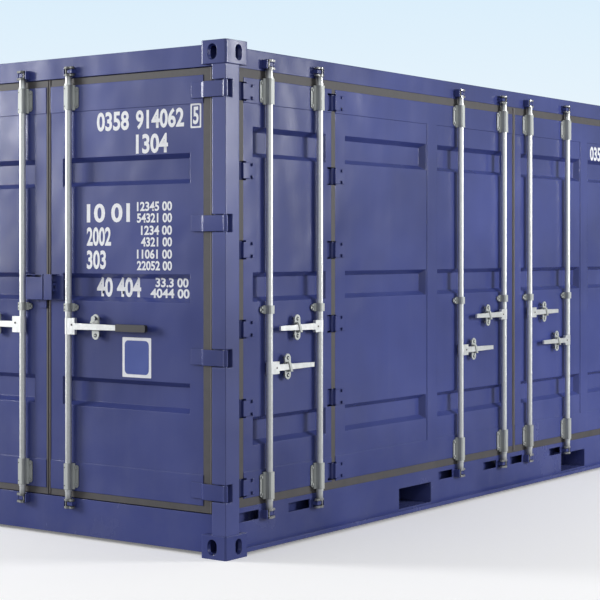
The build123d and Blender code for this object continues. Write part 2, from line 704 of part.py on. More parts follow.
ROOF_TOP = TOP_RAIL_TOP + SHEET_GAUGE
TROUGH_RUN = (-HALF_WIDTH + POST_DEPTH + ROOF_MARGIN, HALF_WIDTH - FAR_RAIL[1] - ROOF_MARGIN)
with BuildPart() as roof_panel:
    with BuildSketch(Plane.XY.offset(TOP_RAIL_TOP)):
        area((-CASTING_END, CASTING_END), (-HALF_WIDTH + DOOR_FACE, HALF_WIDTH - POST_SETBACK))
        area((-SIDE_JAMB, CASTING_END), (-CASTING_SIDE, CASTING_SIDE))
        area(
            from_end(1, POST_SETBACK + FRONT_RAIL_DEPTH, CASTING_LENGTH),
            (-CASTING_SIDE, CASTING_SIDE),
        )
    extrude(amount=SHEET_GAUGE)
    count = int(2 * CASTING_END // ROOF_PITCH)
    troughs = []
    for k in range(count):
        x = (k - (count - 1) / 2) * ROOF_PITCH
        troughs.append((about(x, ROOF_TROUGH_WIDTH / 2), (-TROUGH_RUN[1], -TROUGH_RUN[0])))
    down = Plane((0, 0, ROOF_TOP), x_dir=(1, 0, 0), z_dir=(0, 0, -1))
    press(down, troughs, ROOF_DEPTH, ROOF_DEPTH, SHEET_GAUGE)
save(roof_panel.part, "roof_panel")


# Door leaves: members across the top and bottom, stiles behind a panel with pressed bands
def door_leaf(width, rise, folds, bands, band_spans, stile=None):
    panel_face = DOOR_FACE + LEAF_STEP
    with BuildPart() as leaf:
        with BuildSketch(inward(panel_face)):
            area((0, -width), rise)
            area((-LEAF_STILE, LEAF_STILE - width), folds, mode=Mode.SUBTRACT)
        extrude(amount=LEAF_DEPTH - LEAF_STEP)
        with BuildSketch(inward(DOOR_FACE)):
            area((0, -width), (rise[0], folds[0]))
            area((0, -width), (folds[1], rise[1]))
        extrude(amount=LEAF_DEPTH)
        if stile:
            with BuildSketch(inward(DOOR_FACE)):
                area((-stile[0], -stile[1]), folds)
            extrude(amount=LEAF_DEPTH)
        with BuildSketch(inward(panel_face)):
            area((-LEAF_STILE, LEAF_STILE - width), folds)
        extrude(amount=LEAF_GAUGE)
        troughs = [((-end, -start), band) for band in bands for start, end in band_spans]
        press(inward(panel_face), troughs, BAND_DEPTH, BAND_SLOPE, LEAF_GAUGE)
    return leaf.part


def hinge_recesses(start, end):
    """Cut the recesses of the side hinges into the edge of the leaf being built."""
    for level in SIDE_HINGE_LEVELS:
        block(
            (start, end),
            (DOOR_FACE - OVERCUT, DOOR_FACE + RECESS_DEPTH),
            about(level, RECESS_HEIGHT / 2),
            mode=Mode.SUBTRACT,
        )


def narrow_leaf():
    spans = [(NARROW_BAND_MARGINS[0], NARROW_LEAF_WIDTH - NARROW_BAND_MARGINS[1])]
    with BuildPart() as leaf:
        add(door_leaf(NARROW_LEAF_WIDTH, SIDE_RISE, SIDE_FOLDS, SIDE_BANDS, spans))
        hinge_recesses(-OVERCUT, POST_LINE_RECESS)
        hinge_recesses(NARROW_LEAF_WIDTH - FOLD_LINE_RECESS, NARROW_LEAF_WIDTH + OVERCUT)
    return leaf.part


def wide_leaf():
    width = WIDE_LEAF_START - WIDE_LEAF_END
    stile_start = WIDE_LEAF_START - WIDE_STILE_FROM_MIDDLE - WIDE_STILE_WIDTH
    stile = (stile_start, stile_start + WIDE_STILE_WIDTH)
    spans = [
        (WIDE_BAND_MARGINS[0], stile[0] - STILE_BAND_GAP),
        (stile[1] + STILE_BAND_GAP, width - WIDE_BAND_MARGINS[1]),
    ]
    with BuildPart() as leaf:
        add(door_leaf(width, SIDE_RISE, SIDE_FOLDS, SIDE_BANDS, spans, stile))
        hinge_recesses(-OVERCUT, WIDE_LEAF_RECESS)
    return leaf.part


first_leaf = narrow_leaf().moved(on_side(-NARROW_LEAF_START))
second_leaf = wide_leaf().moved(on_side(-WIDE_LEAF_START))
save(first_leaf, "side_door_leaf_1")
save(second_leaf, "side_door_leaf_2")
save(second_leaf.mirror(Plane.YZ), "side_door_leaf_3")
save(first_leaf.mirror(Plane.YZ), "side_door_leaf_4")

NEAR_DOOR_WIDTH = NEAR_LEAF_FREE - NEAR_LEAF_EDGE
FAR_DOOR_WIDTH = FAR_LEAF_EDGE - FAR_LEAF_FREE
for name, width, start in (
    ("end_door_leaf_near", NEAR_DOOR_WIDTH, NEAR_LEAF_FREE),
    ("end_door_leaf_far", FAR_DOOR_WIDTH, FAR_LEAF_EDGE),
):
    spans = [(END_BAND_MARGIN, width - END_BAND_MARGIN)]
    save(door_leaf(width, END_RISE, END_FOLDS, END_BANDS, spans).moved(on_end(start)), name)

# Rubber gaskets: one frame round the four side leaves, and one round each end leaf
with BuildPart() as side_door_gasket:
    with BuildSketch(Plane.XZ.offset(HALF_WIDTH - GASKET_FACE)):
        area((-SIDE_JAMB, SIDE_JAMB), (BOTTOM_RAIL_TOP, TOP_RAIL_BOTTOM))
        for side in (-1, 1):
            area((side * WIDE_LEAF_START, side * WIDE_LEAF_END), SIDE_RISE, mode=Mode.SUBTRACT)
            area((side * NARROW_LEAF_START, side * NARROW_LEAF_END), SIDE_RISE, mode=Mode.SUBTRACT)
            for level in SIDE_HINGE_LEVELS:
                recess = about(level, RECESS_HEIGHT / 2)
                post_line = (side * NARROW_LEAF_START, side * (SIDE_JAMB - POST_LINE_SEAL))
                area((side * WIDE_LEAF_START, side * NARROW_LEAF_END), recess, mode=Mode.SUBTRACT)
                area(post_line, recess, mode=Mode.SUBTRACT)
    extrude(amount=-GASKET_DEPTH)
save(side_door_gasket.part, "side_door_gasket")


def end_gasket(leaf_span, gasket_span):
    with BuildPart() as gasket:
        with BuildSketch(Plane.YZ.offset(-HALF_LENGTH + GASKET_FACE)):
            area(gasket_span, (SILL_TOP + CLEARANCE, HEADER_BOTTOM - CLEARANCE))
            area(leaf_span, END_RISE, mode=Mode.SUBTRACT)
        extrude(amount=GASKET_DEPTH)
    return gasket.part


save(
    end_gasket(
        (NEAR_LEAF_EDGE, NEAR_LEAF_FREE),
        (NEAR_LEAF_EDGE - NEAR_EDGE_GASKET, NEAR_LEAF_FREE + SEAM_GASKET),
    ),
    "end_door_gasket_near",
)
save(
    end_gasket(
        (FAR_LEAF_FREE, FAR_LEAF_EDGE),
        (FAR_LEAF_FREE - SEAM_GASKET, FAR_LEAF_EDGE + FAR_EDGE_GASKET),
    ),
    "end_door_gasket_far",
)


# Hinge blades of the end doors: an eye round the pin, an arm over the post and a cranked foot
def hinge_blades(side, leaf_edge):
    pin_x = -HALF_LENGTH + PIN_INSET
    pin_y = side * (HALF_WIDTH - PIN_INSET)
    half = BLADE_GAUGE / 2
    foot_x = -HALF_LENGTH + DOOR_FACE - half
    bend_y = side * (leaf_edge + BLADE_BEND)
    edge_y = side * leaf_edge
    foot_y = side * (leaf_edge - BLADE_FOOT)
    shift = side * half * math.tan(math.atan2(foot_x - pin_x, BLADE_BEND) / 2)
    front = [
        (pin_x - half, pin_y),
        (pin_x - half, bend_y - shift),
        (foot_x - half, edge_y - shift),
        (foot_x - half, foot_y),
    ]
    back = [
        (foot_x + half, foot_y),
        (foot_x + half, edge_y + shift),
        (pin_x + half, bend_y + shift),
        (pin_x + half, pin_y),
    ]
    with BuildPart() as blades:
        for level in END_HINGE_LEVELS:
            with BuildSketch(Plane.XY.offset(level - BLADE_HEIGHT / 2)):
                Polygon(*front, *back)
                with Locations((pin_x, pin_y)):
                    Circle(KNUCKLE_RADIUS)
                    Circle(PIN_RADIUS + BEARING_GAP, mode=Mode.SUBTRACT)
            extrude(amount=BLADE_HEIGHT)
    return blades.part


save(hinge_blades(-1, -NEAR_LEAF_EDGE), "end_door_hinges_near")
save(hinge_blades(1, FAR_LEAF_EDGE), "end_door_hinges_far")


# Side door hinges: a barrel in the recess, a plate behind it and a notched lug plate,
# drawn about the barrel, with the lug towards +X
def side_hinge(back_reach, recess_end, lug_width):
    barrel_middle = DOOR_FACE + BARREL_SETBACK + BARREL_RADIUS
    face = DOOR_FACE - LUG_GAUGE
    recess_back = DOOR_FACE + RECESS_DEPTH
    with BuildPart() as hinge:
        for level in SIDE_HINGE_LEVELS:
            with BuildSketch(Plane.XY.offset(level - BARREL_HEIGHT / 2)):
                with Locations((0, barrel_middle)):
                    Circle(BARREL_RADIUS)
            extrude(amount=BARREL_HEIGHT)
            block((-back_reach, 0), (recess_back - HINGE_PLATE, recess_back), about(level, LUG_HEIGHT / 2))
            block((0, recess_end), (face, barrel_middle), about(level, LUG_HEIGHT / 2))
            block((recess_end, recess_end + lug_width), (face, DOOR_FACE), about(level, LUG_HEIGHT / 2))
            notch = about(recess_end + lug_width / 2, LUG_NOTCH_WIDTH / 2)
            for end in (-1, 1):
                tip = level + end * LUG_HEIGHT / 2
                block(notch, (face, DOOR_FACE), (tip, tip - end * LUG_NOTCH_HEIGHT), mode=Mode.SUBTRACT)
    return hinge.part


POST_LINE = NARROW_LEAF_START + BARREL_OFFSET
FOLD_LINE = WIDE_LEAF_START + BARREL_RADIUS + BEARING_GAP
post_hinge = side_hinge(
    SIDE_JAMB - POST_LINE, POST_LINE - NARROW_LEAF_START + POST_LINE_RECESS, POST_LUG_WIDTH
)
fold_hinge = side_hinge(
    NARROW_LEAF_END + FOLD_LINE_RECESS - FOLD_LINE,
    FOLD_LINE - WIDE_LEAF_START + WIDE_LEAF_RECESS,
    FOLD_LUG_WIDTH,
)
with BuildPart() as side_door_hinges:
    for hinge, line in ((post_hinge, POST_LINE), (fold_hinge, FOLD_LINE)):
        add(hinge.moved(on_side(-line)))
        add(hinge.moved(on_side(-line)).mirror(Plane.YZ))
save(side_door_hinges.part, "side_door_hinges")


# Lock gear, drawn on an outer plane at Y = 0 about X = 0; hand is the way that the handle points
def lock_rod():
    """The rod between its cams, with a collar beyond each end bearing."""
    ends = (BOTTOM_CAM_LEVEL + CAM_HEIGHT / 2, TOP_CAM_LEVEL - CAM_HEIGHT / 2)
    collars = (BOTTOM_BEARING[0] - BEARING_GAP - COLLAR_HEIGHT, TOP_BEARING[1] + BEARING_GAP)
    with BuildPart() as rod:
        with BuildSketch(Plane.XY.offset(ends[0])):
            with Locations((0, ROD_SETBACK)):
                Circle(ROD_RADIUS)
        extrude(amount=ends[1] - ends[0])
        for level in collars:
            with BuildSketch(Plane.XY.offset(level)):
                with Locations((0, ROD_SETBACK)):
                    Circle(COLLAR_RADIUS)
            extrude(amount=COLLAR_HEIGHT)
    return rod.part


def rod_cam(level, hand):
    """Two jaws on a back plate, with a mouth towards the hand's side and a spur behind."""
    nose = [
        (0, -CAM_NOSE_HALF),
        (CAM_NOSE - CAM_NOSE_BEVEL, -CAM_NOSE_HALF),
        (CAM_NOSE, CAM_NOSE_BEVEL - CAM_NOSE_HALF),
        (CAM_NOSE, CAM_NOSE_HALF - CAM_NOSE_BEVEL),
        (CAM_NOSE - CAM_NOSE_BEVEL, CAM_NOSE_HALF),
        (0, CAM_NOSE_HALF),
    ]
    spur = [(0, -CAM_RADIUS), (-CAM_SPUR[0], -CAM_SPUR[1]), (-CAM_RADIUS, 0), (0, 0)]
    span = about(level, CAM_HEIGHT / 2)
    with BuildPart() as cam:
        for low in (span[0], span[1] - JAW_GAUGE):
            with BuildSketch(Plane.XY.offset(low)):
                with Locations((0, ROD_SETBACK)):
                    Circle(CAM_RADIUS)
                for outline in (nose, spur):
                    Polygon(*[(hand * u, ROD_SETBACK + v) for u, v in outline])
            extrude(amount=JAW_GAUGE)
        block(
            (-hand * CAM_BACK_SPAN[0], -hand * CAM_BACK_SPAN[1]),
            about(ROD_SETBACK, CAM_BACK_HALF),
            span,
        )
    return cam.part


def cam_keeper(level, hand):
    """Two ears on a low base; the one on the hand's side carries the tongue in the cam's mouth."""
    outer = KEEPER_INNER + KEEPER_GAUGE
    tongue = about(level, CAM_HEIGHT / 2 - JAW_GAUGE - JAW_GAP)
    with BuildPart() as keeper:
        block((-outer, outer), (DOOR_FACE - KEEPER_BASE, DOOR_FACE), tongue)
        block(
            (-hand * KEEPER_INNER, -hand * outer),
            (KEEPER_FACE, DOOR_FACE),
            about(level, KEEPER_HEIGHT / 2),
        )
        block((hand * KEEPER_INNER, hand * outer), (KEEPER_FACE, DOOR_FACE), tongue)
        block((-hand * TONGUE_REACH, hand * outer), about(ROD_SETBACK, TONGUE_HALF), tongue)
    return keeper.part


def rod_bearings(strip):
    """Channels over the rod, a web down to a bolted strip, and a lip; strip is the strip's way."""
    bore = ROD_RADIUS + BEARING_GAP
    sleeve = bore + BEARING_WALL
    front = ROD_SETBACK - sleeve
    back = DOOR_FACE - STRIP_GAUGE
    with BuildPart() as bearings:
        for low, high in (TOP_BEARING, BOTTOM_BEARING, MIDDLE_BEARING):
            with BuildSketch(Plane.XY.offset(low)):
                area((-sleeve, sleeve), (front + BEARING_CORNER, DOOR_FACE))
                Polygon(
                    (-sleeve, front + BEARING_CORNER),
                    (BEARING_CORNER - sleeve, front),
                    (sleeve - BEARING_CORNER, front),
                    (sleeve, front + BEARING_CORNER),
                )
                Polygon(
                    (strip * bore, ROD_SETBACK + WEB_DROP),
                    (strip * (STRIP_START + OVERCUT), back),
                    (strip * (STRIP_START + OVERCUT), DOOR_FACE),
                    (strip * bore, DOOR_FACE),
                )
                with Locations((0, ROD_SETBACK)):
                    Circle(bore, mode=Mode.SUBTRACT)
            extrude(amount=high - low)
            inset = min(STRIP_INSET, (high - low) / 8)
            ends = (low + inset, high - inset)
            with BuildSketch(Plane.XZ.offset(-back)):
                Polygon(
                    (strip * STRIP_START, ends[0]),
                    (strip * (STRIP_END - STRIP_CORNER), ends[0]),
                    (strip * STRIP_END, ends[0] + STRIP_CORNER),
                    (strip * STRIP_END, ends[1] - STRIP_CORNER),
                    (strip * (STRIP_END - STRIP_CORNER), ends[1]),
                    (strip * STRIP_START, ends[1]),
                )
            extrude(amount=-STRIP_GAUGE)
            block((-strip * bore, -strip * (sleeve + LIP_REACH)), (back, DOOR_FACE), ends)
    return bearings.part


def handle_bar(level, hand, length):
    """Add the flat bar of a handle, tapered towards its tip, to the part being built."""
    with BuildSketch(Plane.XZ.offset(-HANDLE_FACE)) as bar:
        Polygon(
            (hand * HUB_REACH, level - HANDLE_HEIGHT / 2),
            (hand * HUB_REACH, level + HANDLE_HEIGHT / 2),
            (hand * length, level + HANDLE_TIP / 2),
            (hand * length, level - HANDLE_TIP / 2),
        )
    extrude(bar.sketch, amount=-HANDLE_GAUGE)


def lock_handle(level, hand, length, hub_height):
    with BuildPart() as handle:
        with BuildSketch(Plane.XY.offset(level - hub_height / 2)):
            with Locations((0, ROD_SETBACK)):
                Circle(CAM_RADIUS)
            area((0, hand * HUB_REACH), (HANDLE_FACE, ROD_SETBACK))
            with Locations((0, ROD_SETBACK)):
                Circle(ROD_RADIUS, mode=Mode.SUBTRACT)
        extrude(amount=hub_height)
        handle_bar(level, hand, length)
    return handle.part


def handle_catch(level, place):
    """Oval plate with two holes on a short stand, behind the handle."""
    plate = HANDLE_FACE + HANDLE_GAUGE + CLEARANCE
    with BuildPart() as catch:
        with BuildSketch(Plane.XZ.offset(-plate)):
            with Locations((place, level)):
                SlotOverall(CATCH_HEIGHT, CATCH_WIDTH, rotation=90)
                with GridLocations(0, CATCH_HOLE_SPACING, 1, 2):
                    Circle(CATCH_HOLE, mode=Mode.SUBTRACT)
        extrude(amount=-CATCH_GAUGE)
        block(about(place, CATCH_HOLE), (plate + CATCH_GAUGE, DOOR_FACE), about(level, HANDLE_HEIGHT / 2))
    return catch.part


with BuildPart() as side_lock_rods:
    for x, hand, level, catch, hole in SIDE_GEAR:
        add(lock_rod().moved(on_side(x)))
        for cam_level in (BOTTOM_CAM_LEVEL, TOP_CAM_LEVEL):
            add(rod_cam(cam_level, hand).moved(on_side(x)))
        add(lock_handle(level, hand, HANDLE_LENGTH, SIDE_HUB_HEIGHT).moved(on_side(x)))
save(side_lock_rods.part, "side_lock_rods")

# The leaning straps that hold the side handles down are part of their catches
with BuildPart() as side_rod_bearings:
    for x, hand, level, catch, hole in SIDE_GEAR:
        add(rod_bearings(-1).moved(on_side(x)))
        add(handle_catch(level, hand * catch).moved(on_side(x)))
        plate = HANDLE_FACE + HANDLE_GAUGE + CLEARANCE
        place = x + hand * catch
        reach = HANDLE_HEIGHT / 2 + CLEARANCE
        rise = reach + HANDLE_FACE
        feet = {end: about(place - end * STRAP_LEAN / 2, STRAP_WIDTH / 2) for end in (-1, 1)}
        with BuildSketch(Plane.XZ.offset(HALF_WIDTH)):
            Polygon(
                (feet[1][0], level + rise),
                (feet[1][1], level + rise),
                (feet[-1][1], level - rise),
                (feet[-1][0], level - rise),
            )
        extrude(amount=-HANDLE_FACE)
        for end in (-1, 1):
            edge = level + end * reach
            block(feet[end], from_side(-1, 0, plate), (edge, edge + end * HANDLE_FACE))
save(side_rod_bearings.part, "side_rod_bearings")

with BuildPart() as side_cam_keepers:
    for x, hand, level, catch, hole in SIDE_GEAR:
        for cam_level in (BOTTOM_CAM_LEVEL, TOP_CAM_LEVEL):
            add(cam_keeper(cam_level, hand).moved(on_side(x)))
save(side_cam_keepers.part, "side_cam_keepers")


# Grips: sleeves over the outer stretch of the end handles
def handle_grip(hand):
    middle = HANDLE_FACE + HANDLE_GAUGE / 2 + GRIP_OFFSET
    grip_end = END_HANDLE_LENGTH + GRIP_LENGTH
    with BuildPart() as grip:
        with BuildSketch(Plane.XZ.offset(-middle - GRIP_GAUGE / 2)):
            Polygon(
                (hand * END_HANDLE_LENGTH, HIGH_HANDLE - GRIP_HEIGHT / 2),
                (hand * END_HANDLE_LENGTH, HIGH_HANDLE + GRIP_HEIGHT / 2),
                (hand * grip_end, HIGH_HANDLE + GRIP_HEIGHT / 2),
                (hand * (grip_end + GRIP_CORNER), HIGH_HANDLE + GRIP_HEIGHT / 2 - GRIP_CORNER),
                (hand * (grip_end + GRIP_CORNER), HIGH_HANDLE - GRIP_HEIGHT / 2 + GRIP_CORNER),
                (hand * grip_end, HIGH_HANDLE - GRIP_HEIGHT / 2),
            )
        extrude(amount=GRIP_GAUGE)
        add(lock_handle(HIGH_HANDLE, hand, grip_end, END_HUB_HEIGHT), mode=Mode.SUBTRACT)
    return grip.part


# Gear of the end doors: one rod each, whose handle points to its hinges
END_GEAR = {"near": (DOOR_MEETING - END_ROD_OFFSET, 1), "far": (DOOR_MEETING + END_ROD_OFFSET, -1)}
for name, (y, hand) in END_GEAR.items():
    save(lock_rod().moved(on_end(y)), f"end_lock_rod_{name}")
    with BuildPart() as cams:
        for cam_level in (BOTTOM_CAM_LEVEL, TOP_CAM_LEVEL):
            add(rod_cam(cam_level, hand).moved(on_end(y)))
    save(cams.part, f"end_rod_cams_{name}")
    handle = lock_handle(HIGH_HANDLE, hand, END_HANDLE_LENGTH + GRIP_LENGTH, END_HUB_HEIGHT)
    save(handle.moved(on_end(y)), f"end_handle_{name}")
    save(handle_grip(hand).moved(on_end(y)), f"end_grip_{name}")
    with BuildPart() as fittings:
        add(rod_bearings(1).moved(on_end(y)))
        add(handle_catch(HIGH_HANDLE, hand * END_CATCH).moved(on_end(y)))
    save(fittings.part, f"end_rod_bearings_{name}")

with BuildPart() as end_cam_keepers:
    for y, hand in END_GEAR.values():
        for cam_level in (BOTTOM_CAM_LEVEL, TOP_CAM_LEVEL):
            add(cam_keeper(cam_level, hand).moved(on_end(y)))
save(end_cam_keepers.part, "end_cam_keepers")


# Lock box: a shroud on the far door that runs on over the near door, open underneath
def box_half(start, end, reach):
    """Front and top of one half; reach is how far the hollow runs along from its start."""
    block(from_end(-1, BOX_FACE, DOOR_FACE), (start, end), (BOX_BOTTOM, BOX_TOP))
    block(
        from_end(-1, BOX_FACE + BOX_WALL, DOOR_FACE),
        (start, reach),
        (BOX_BOTTOM, BOX_TOP - BOX_WALL),
        mode=Mode.SUBTRACT,
    )


BOX_FAR_START = DOOR_MEETING + SEAM_GAP / 2
BOX_FAR_END = BOX_FAR_START + BOX_FAR_REACH
BOX_NEAR_START = DOOR_MEETING - SEAM_GAP / 2
BOX_NEAR_END = BOX_NEAR_START - BOX_NEAR_REACH
with BuildPart() as lock_box_far:
    box_half(BOX_FAR_START, BOX_FAR_END, BOX_FAR_END - BOX_WALL)
    slot_top = BOX_TOP - BOX_WALL
    block(
        from_end(-1, 0, BOX_FACE + BOX_WALL),
        (BOX_FAR_END - BOX_WALL - BOX_SLOT_LENGTH, BOX_FAR_END - BOX_WALL),
        (slot_top - BOX_SLOT_HEIGHT, slot_top),
        mode=Mode.SUBTRACT,
    )
    lug = (BOX_FAR_START + STRIP_GAUGE, BOX_FAR_START + STRIP_GAUGE + BOX_LUG_WIDTH)
    block(
        from_end(-1, DOOR_FACE - STRIP_GAUGE, DOOR_FACE),
        lug,
        (BOX_BOTTOM - BOX_LUG_HEIGHT, BOX_TOP - BOX_WALL),
    )
save(lock_box_far.part, "lock_box_far")

# The near half has a hasp plate, and an eye for a padlock in its open side
with BuildPart() as lock_box_near:
    box_half(BOX_NEAR_START, BOX_NEAR_END, BOX_NEAR_END)
    box_middle = (BOX_BOTTOM + BOX_TOP) / 2
    block(
        from_end(-1, DOOR_FACE - STRIP_GAUGE, DOOR_FACE),
        (BOX_NEAR_END - HASP_REACH, BOX_NEAR_START),
        (BOX_BOTTOM, BOX_TOP - BOX_WALL),
    )
    eye_x = -HALF_LENGTH + BOX_FACE + BOX_WALL + CLEARANCE + EYE_RADIUS
    block(
        (eye_x - EYE_RADIUS, -HALF_LENGTH + DOOR_FACE),
        (BOX_NEAR_END, BOX_NEAR_END + STRIP_GAUGE),
        about(box_middle, EYE_HEIGHT / 2),
    )
    with Locations(Location((eye_x + BOX_WALL, BOX_NEAR_END, box_middle), (90, 0, 0))):
        Cylinder(EYE_RADIUS, 2 * HASP_REACH, mode=Mode.SUBTRACT)
save(lock_box_near.part, "lock_box_near")
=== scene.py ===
# %% [markdown]
# # An open-side freight container
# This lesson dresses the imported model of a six-metre steel container. The CAD pieces already have their
# real shapes, so most of the work is finish: semi-gloss blue paint over pressed sheet, galvanised lock
# gear, rubber gaskets and plywood. Small things that the CAD leaves out, such as bolts, weld beads,
# gasket lips and painted numbers, are added here as meshes.

# %% Load the frame
import json
import math

import bmesh
import bpy
from mathutils import Matrix, Vector


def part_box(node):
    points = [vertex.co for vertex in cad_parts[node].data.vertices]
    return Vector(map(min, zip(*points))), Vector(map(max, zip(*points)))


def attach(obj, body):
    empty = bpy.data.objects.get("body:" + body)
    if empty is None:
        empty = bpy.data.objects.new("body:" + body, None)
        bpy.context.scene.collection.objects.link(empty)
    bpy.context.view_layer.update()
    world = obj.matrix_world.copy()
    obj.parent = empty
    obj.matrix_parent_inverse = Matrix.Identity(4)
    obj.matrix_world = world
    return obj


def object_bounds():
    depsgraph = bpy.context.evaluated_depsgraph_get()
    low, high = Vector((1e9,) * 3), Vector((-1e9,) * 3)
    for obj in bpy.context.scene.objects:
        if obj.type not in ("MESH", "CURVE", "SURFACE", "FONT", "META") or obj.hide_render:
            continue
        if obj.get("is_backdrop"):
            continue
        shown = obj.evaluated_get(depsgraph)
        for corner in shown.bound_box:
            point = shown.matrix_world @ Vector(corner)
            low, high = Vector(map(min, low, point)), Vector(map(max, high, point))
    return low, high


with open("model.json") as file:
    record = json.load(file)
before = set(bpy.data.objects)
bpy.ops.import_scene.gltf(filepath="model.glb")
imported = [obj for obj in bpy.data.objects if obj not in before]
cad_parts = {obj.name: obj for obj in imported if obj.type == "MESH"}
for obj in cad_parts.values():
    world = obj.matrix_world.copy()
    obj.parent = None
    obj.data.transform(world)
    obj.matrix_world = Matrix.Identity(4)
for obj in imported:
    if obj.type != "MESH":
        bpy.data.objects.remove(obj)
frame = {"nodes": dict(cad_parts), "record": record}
cad_low, cad_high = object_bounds()
nodes = frame["nodes"]
MM = 0.001
print("nodes", len(nodes), "size", [round(v, 3) for v in cad_high - cad_low])

# %% [markdown]
# ## Camera
# The photograph was taken from eye level, a little above the middle of the doors, with a lens of about
# 100 mm on a full frame. The walls run to two vanishing points, and the known size of the castings fixes
# the distance. The camera is held level, so a small lens shift frames the container instead of a tilt.

# %% Camera
CAMERA_PLACE = Vector((-9.405, -6.315, 1.539))
CAMERA_YAW = math.radians(36.06)
PHOTO_SIZE = 600
FOCAL_PIXELS = 1647.0
HORIZON_PIXEL = 250.7
SENSOR = 36.0
FAR_CLIP = 200.0

camera_data = bpy.data.cameras.new("camera")
camera_data.sensor_width = SENSOR
camera_data.lens = FOCAL_PIXELS / PHOTO_SIZE * SENSOR
camera_data.shift_y = (HORIZON_PIXEL - PHOTO_SIZE / 2) / PHOTO_SIZE
camera_data.clip_end = FAR_CLIP
camera = bpy.data.objects.new("camera", camera_data)
camera.location = CAMERA_PLACE
camera.rotation_euler = (math.pi / 2, 0.0, CAMERA_YAW - math.pi / 2)
bpy.context.scene.collection.objects.link(camera)
bpy.context.scene.camera = camera
print("lens", round(camera_data.lens, 1), "mm, shift", round(camera_data.shift_y, 3))

# %% [markdown]
# ## Colours
# Shaders count light, while a colour picked from a picture is bent to suit the eye. A small function
# turns the picked colour into light values, so that the rest of the script can give colours from 0 to
# 255.


# %% Colours
def light_share(value):
    value /= 255
    return value / 12.92 if value <= 0.04045 else ((value + 0.055) / 1.055) ** 2.4


def linear(red, green, blue):
    return (light_share(red), light_share(green), light_share(blue), 1.0)


print("middle grey is", round(linear(128, 128, 128)[0], 3), "of white in light")

# %% [markdown]
# ## Node helpers
# Materials are built from shader nodes. The first helper adds a node, sets its plain values and links the
# sockets it is given. The others wrap the nodes that nearly every finish needs: a ramp that stretches a
# value, a noise, a sum or product, a mix of two colours, a colour made lighter or darker, a rounded edge
# and a bump.


# %% Node helpers
def add_node(tree, kind, inputs=None, **settings):
    node = tree.nodes.new(kind)
    for key, value in settings.items():
        setattr(node, key, value)
    for key, value in (inputs or {}).items():
        if isinstance(value, bpy.types.NodeSocket):
            tree.links.new(value, node.inputs[key])
        else:
            node.inputs[key].default_value = value
    return node


def ramp(tree, value, start, end, low=0.0, high=1.0, **settings):
    """What lies between start and end comes out between low and high."""
    span = {"Value": value, "From Min": start, "From Max": end, "To Min": low, "To Max": high}
    return add_node(tree, "ShaderNodeMapRange", span, **settings).outputs["Result"]


def noise(tree, spot, scale, detail, roughness=0.5):
    values = {"Vector": spot, "Scale": scale, "Detail": detail, "Roughness": roughness}
    return add_node(tree, "ShaderNodeTexNoise", values).outputs["Fac"]


def combine(tree, operation, first, second, **settings):
    values = {0: first, 1: second}
    return add_node(tree, "ShaderNodeMath", values, operation=operation, **settings).outputs[0]


def blend(tree, share, colour, other):
    """A share of 0 gives the first colour and a share of 1 the other."""
    values = {"Factor": share, "A": colour, "B": other}
    return add_node(tree, "ShaderNodeMix", values, data_type="RGBA").outputs["Result"]


def shade(tree, colour, strength):
    values = {0: colour[:3], "Scale": strength}
    return add_node(tree, "ShaderNodeVectorMath", values, operation="SCALE").outputs["Vector"]


def rounded_edge(tree, radius, samples):
    return add_node(tree, "ShaderNodeBevel", {"Radius": radius}, samples=samples).outputs["Normal"]


def bumped(tree, height, strength, depth, normal):
    values = {"Height": height, "Strength": strength, "Distance": depth, "Normal": normal}
    return add_node(tree, "ShaderNodeBump", values).outputs["Normal"]


# %% [markdown]
# ## Groups and materials
# An effect that several finishes share is a node group with named inputs and outputs. A finish itself
# starts from the Principled shader and from object coordinates, which stay on the steel when a door
# swings.


# %% Groups and materials
def start_group(name, inputs, output):
    group = bpy.data.node_groups.new(name, "ShaderNodeTree")
    for socket_name, default in inputs.items():
        socket = group.interface.new_socket(socket_name, in_out="INPUT", socket_type="NodeSocketFloat")
        socket.default_value = default
    group.interface.new_socket(output, in_out="OUTPUT", socket_type="NodeSocketFloat")
    return group, group.nodes.new("NodeGroupInput").outputs, group.nodes.new("NodeGroupOutput").inputs


def group_mask(tree, group, values):
    return add_node(tree, "ShaderNodeGroup", values, node_tree=group).outputs["Mask"]


def start_material(name):
    material = bpy.data.materials.new(name)
    material.use_nodes = True
    tree = material.node_tree
    spot = add_node(tree, "ShaderNodeTexCoord").outputs["Object"]
    return material, tree, tree.nodes["Principled BSDF"].inputs, spot


# %% [markdown]
# ## Dirt that settles downwards
# A container that stands outside collects dust near the ground and thin streaks below every ledge. The
# group mixes three things: a height fade, a broad cloudy noise, and a noise stretched upright that reads
# as streaks.

# %% Grime group
GRIME_INPUTS = {"Low": 0.0, "High": 1.2, "Streaks": 0.3, "Amount": 0.3}
CLOUD_SCALE = 2.3
CLOUD_CUT = (0.4, 0.72)
STREAK_SHAPE = (9.0, 9.0, 0.35)
STREAK_SCALE = 2.0
STREAK_CUT = (0.52, 0.75)

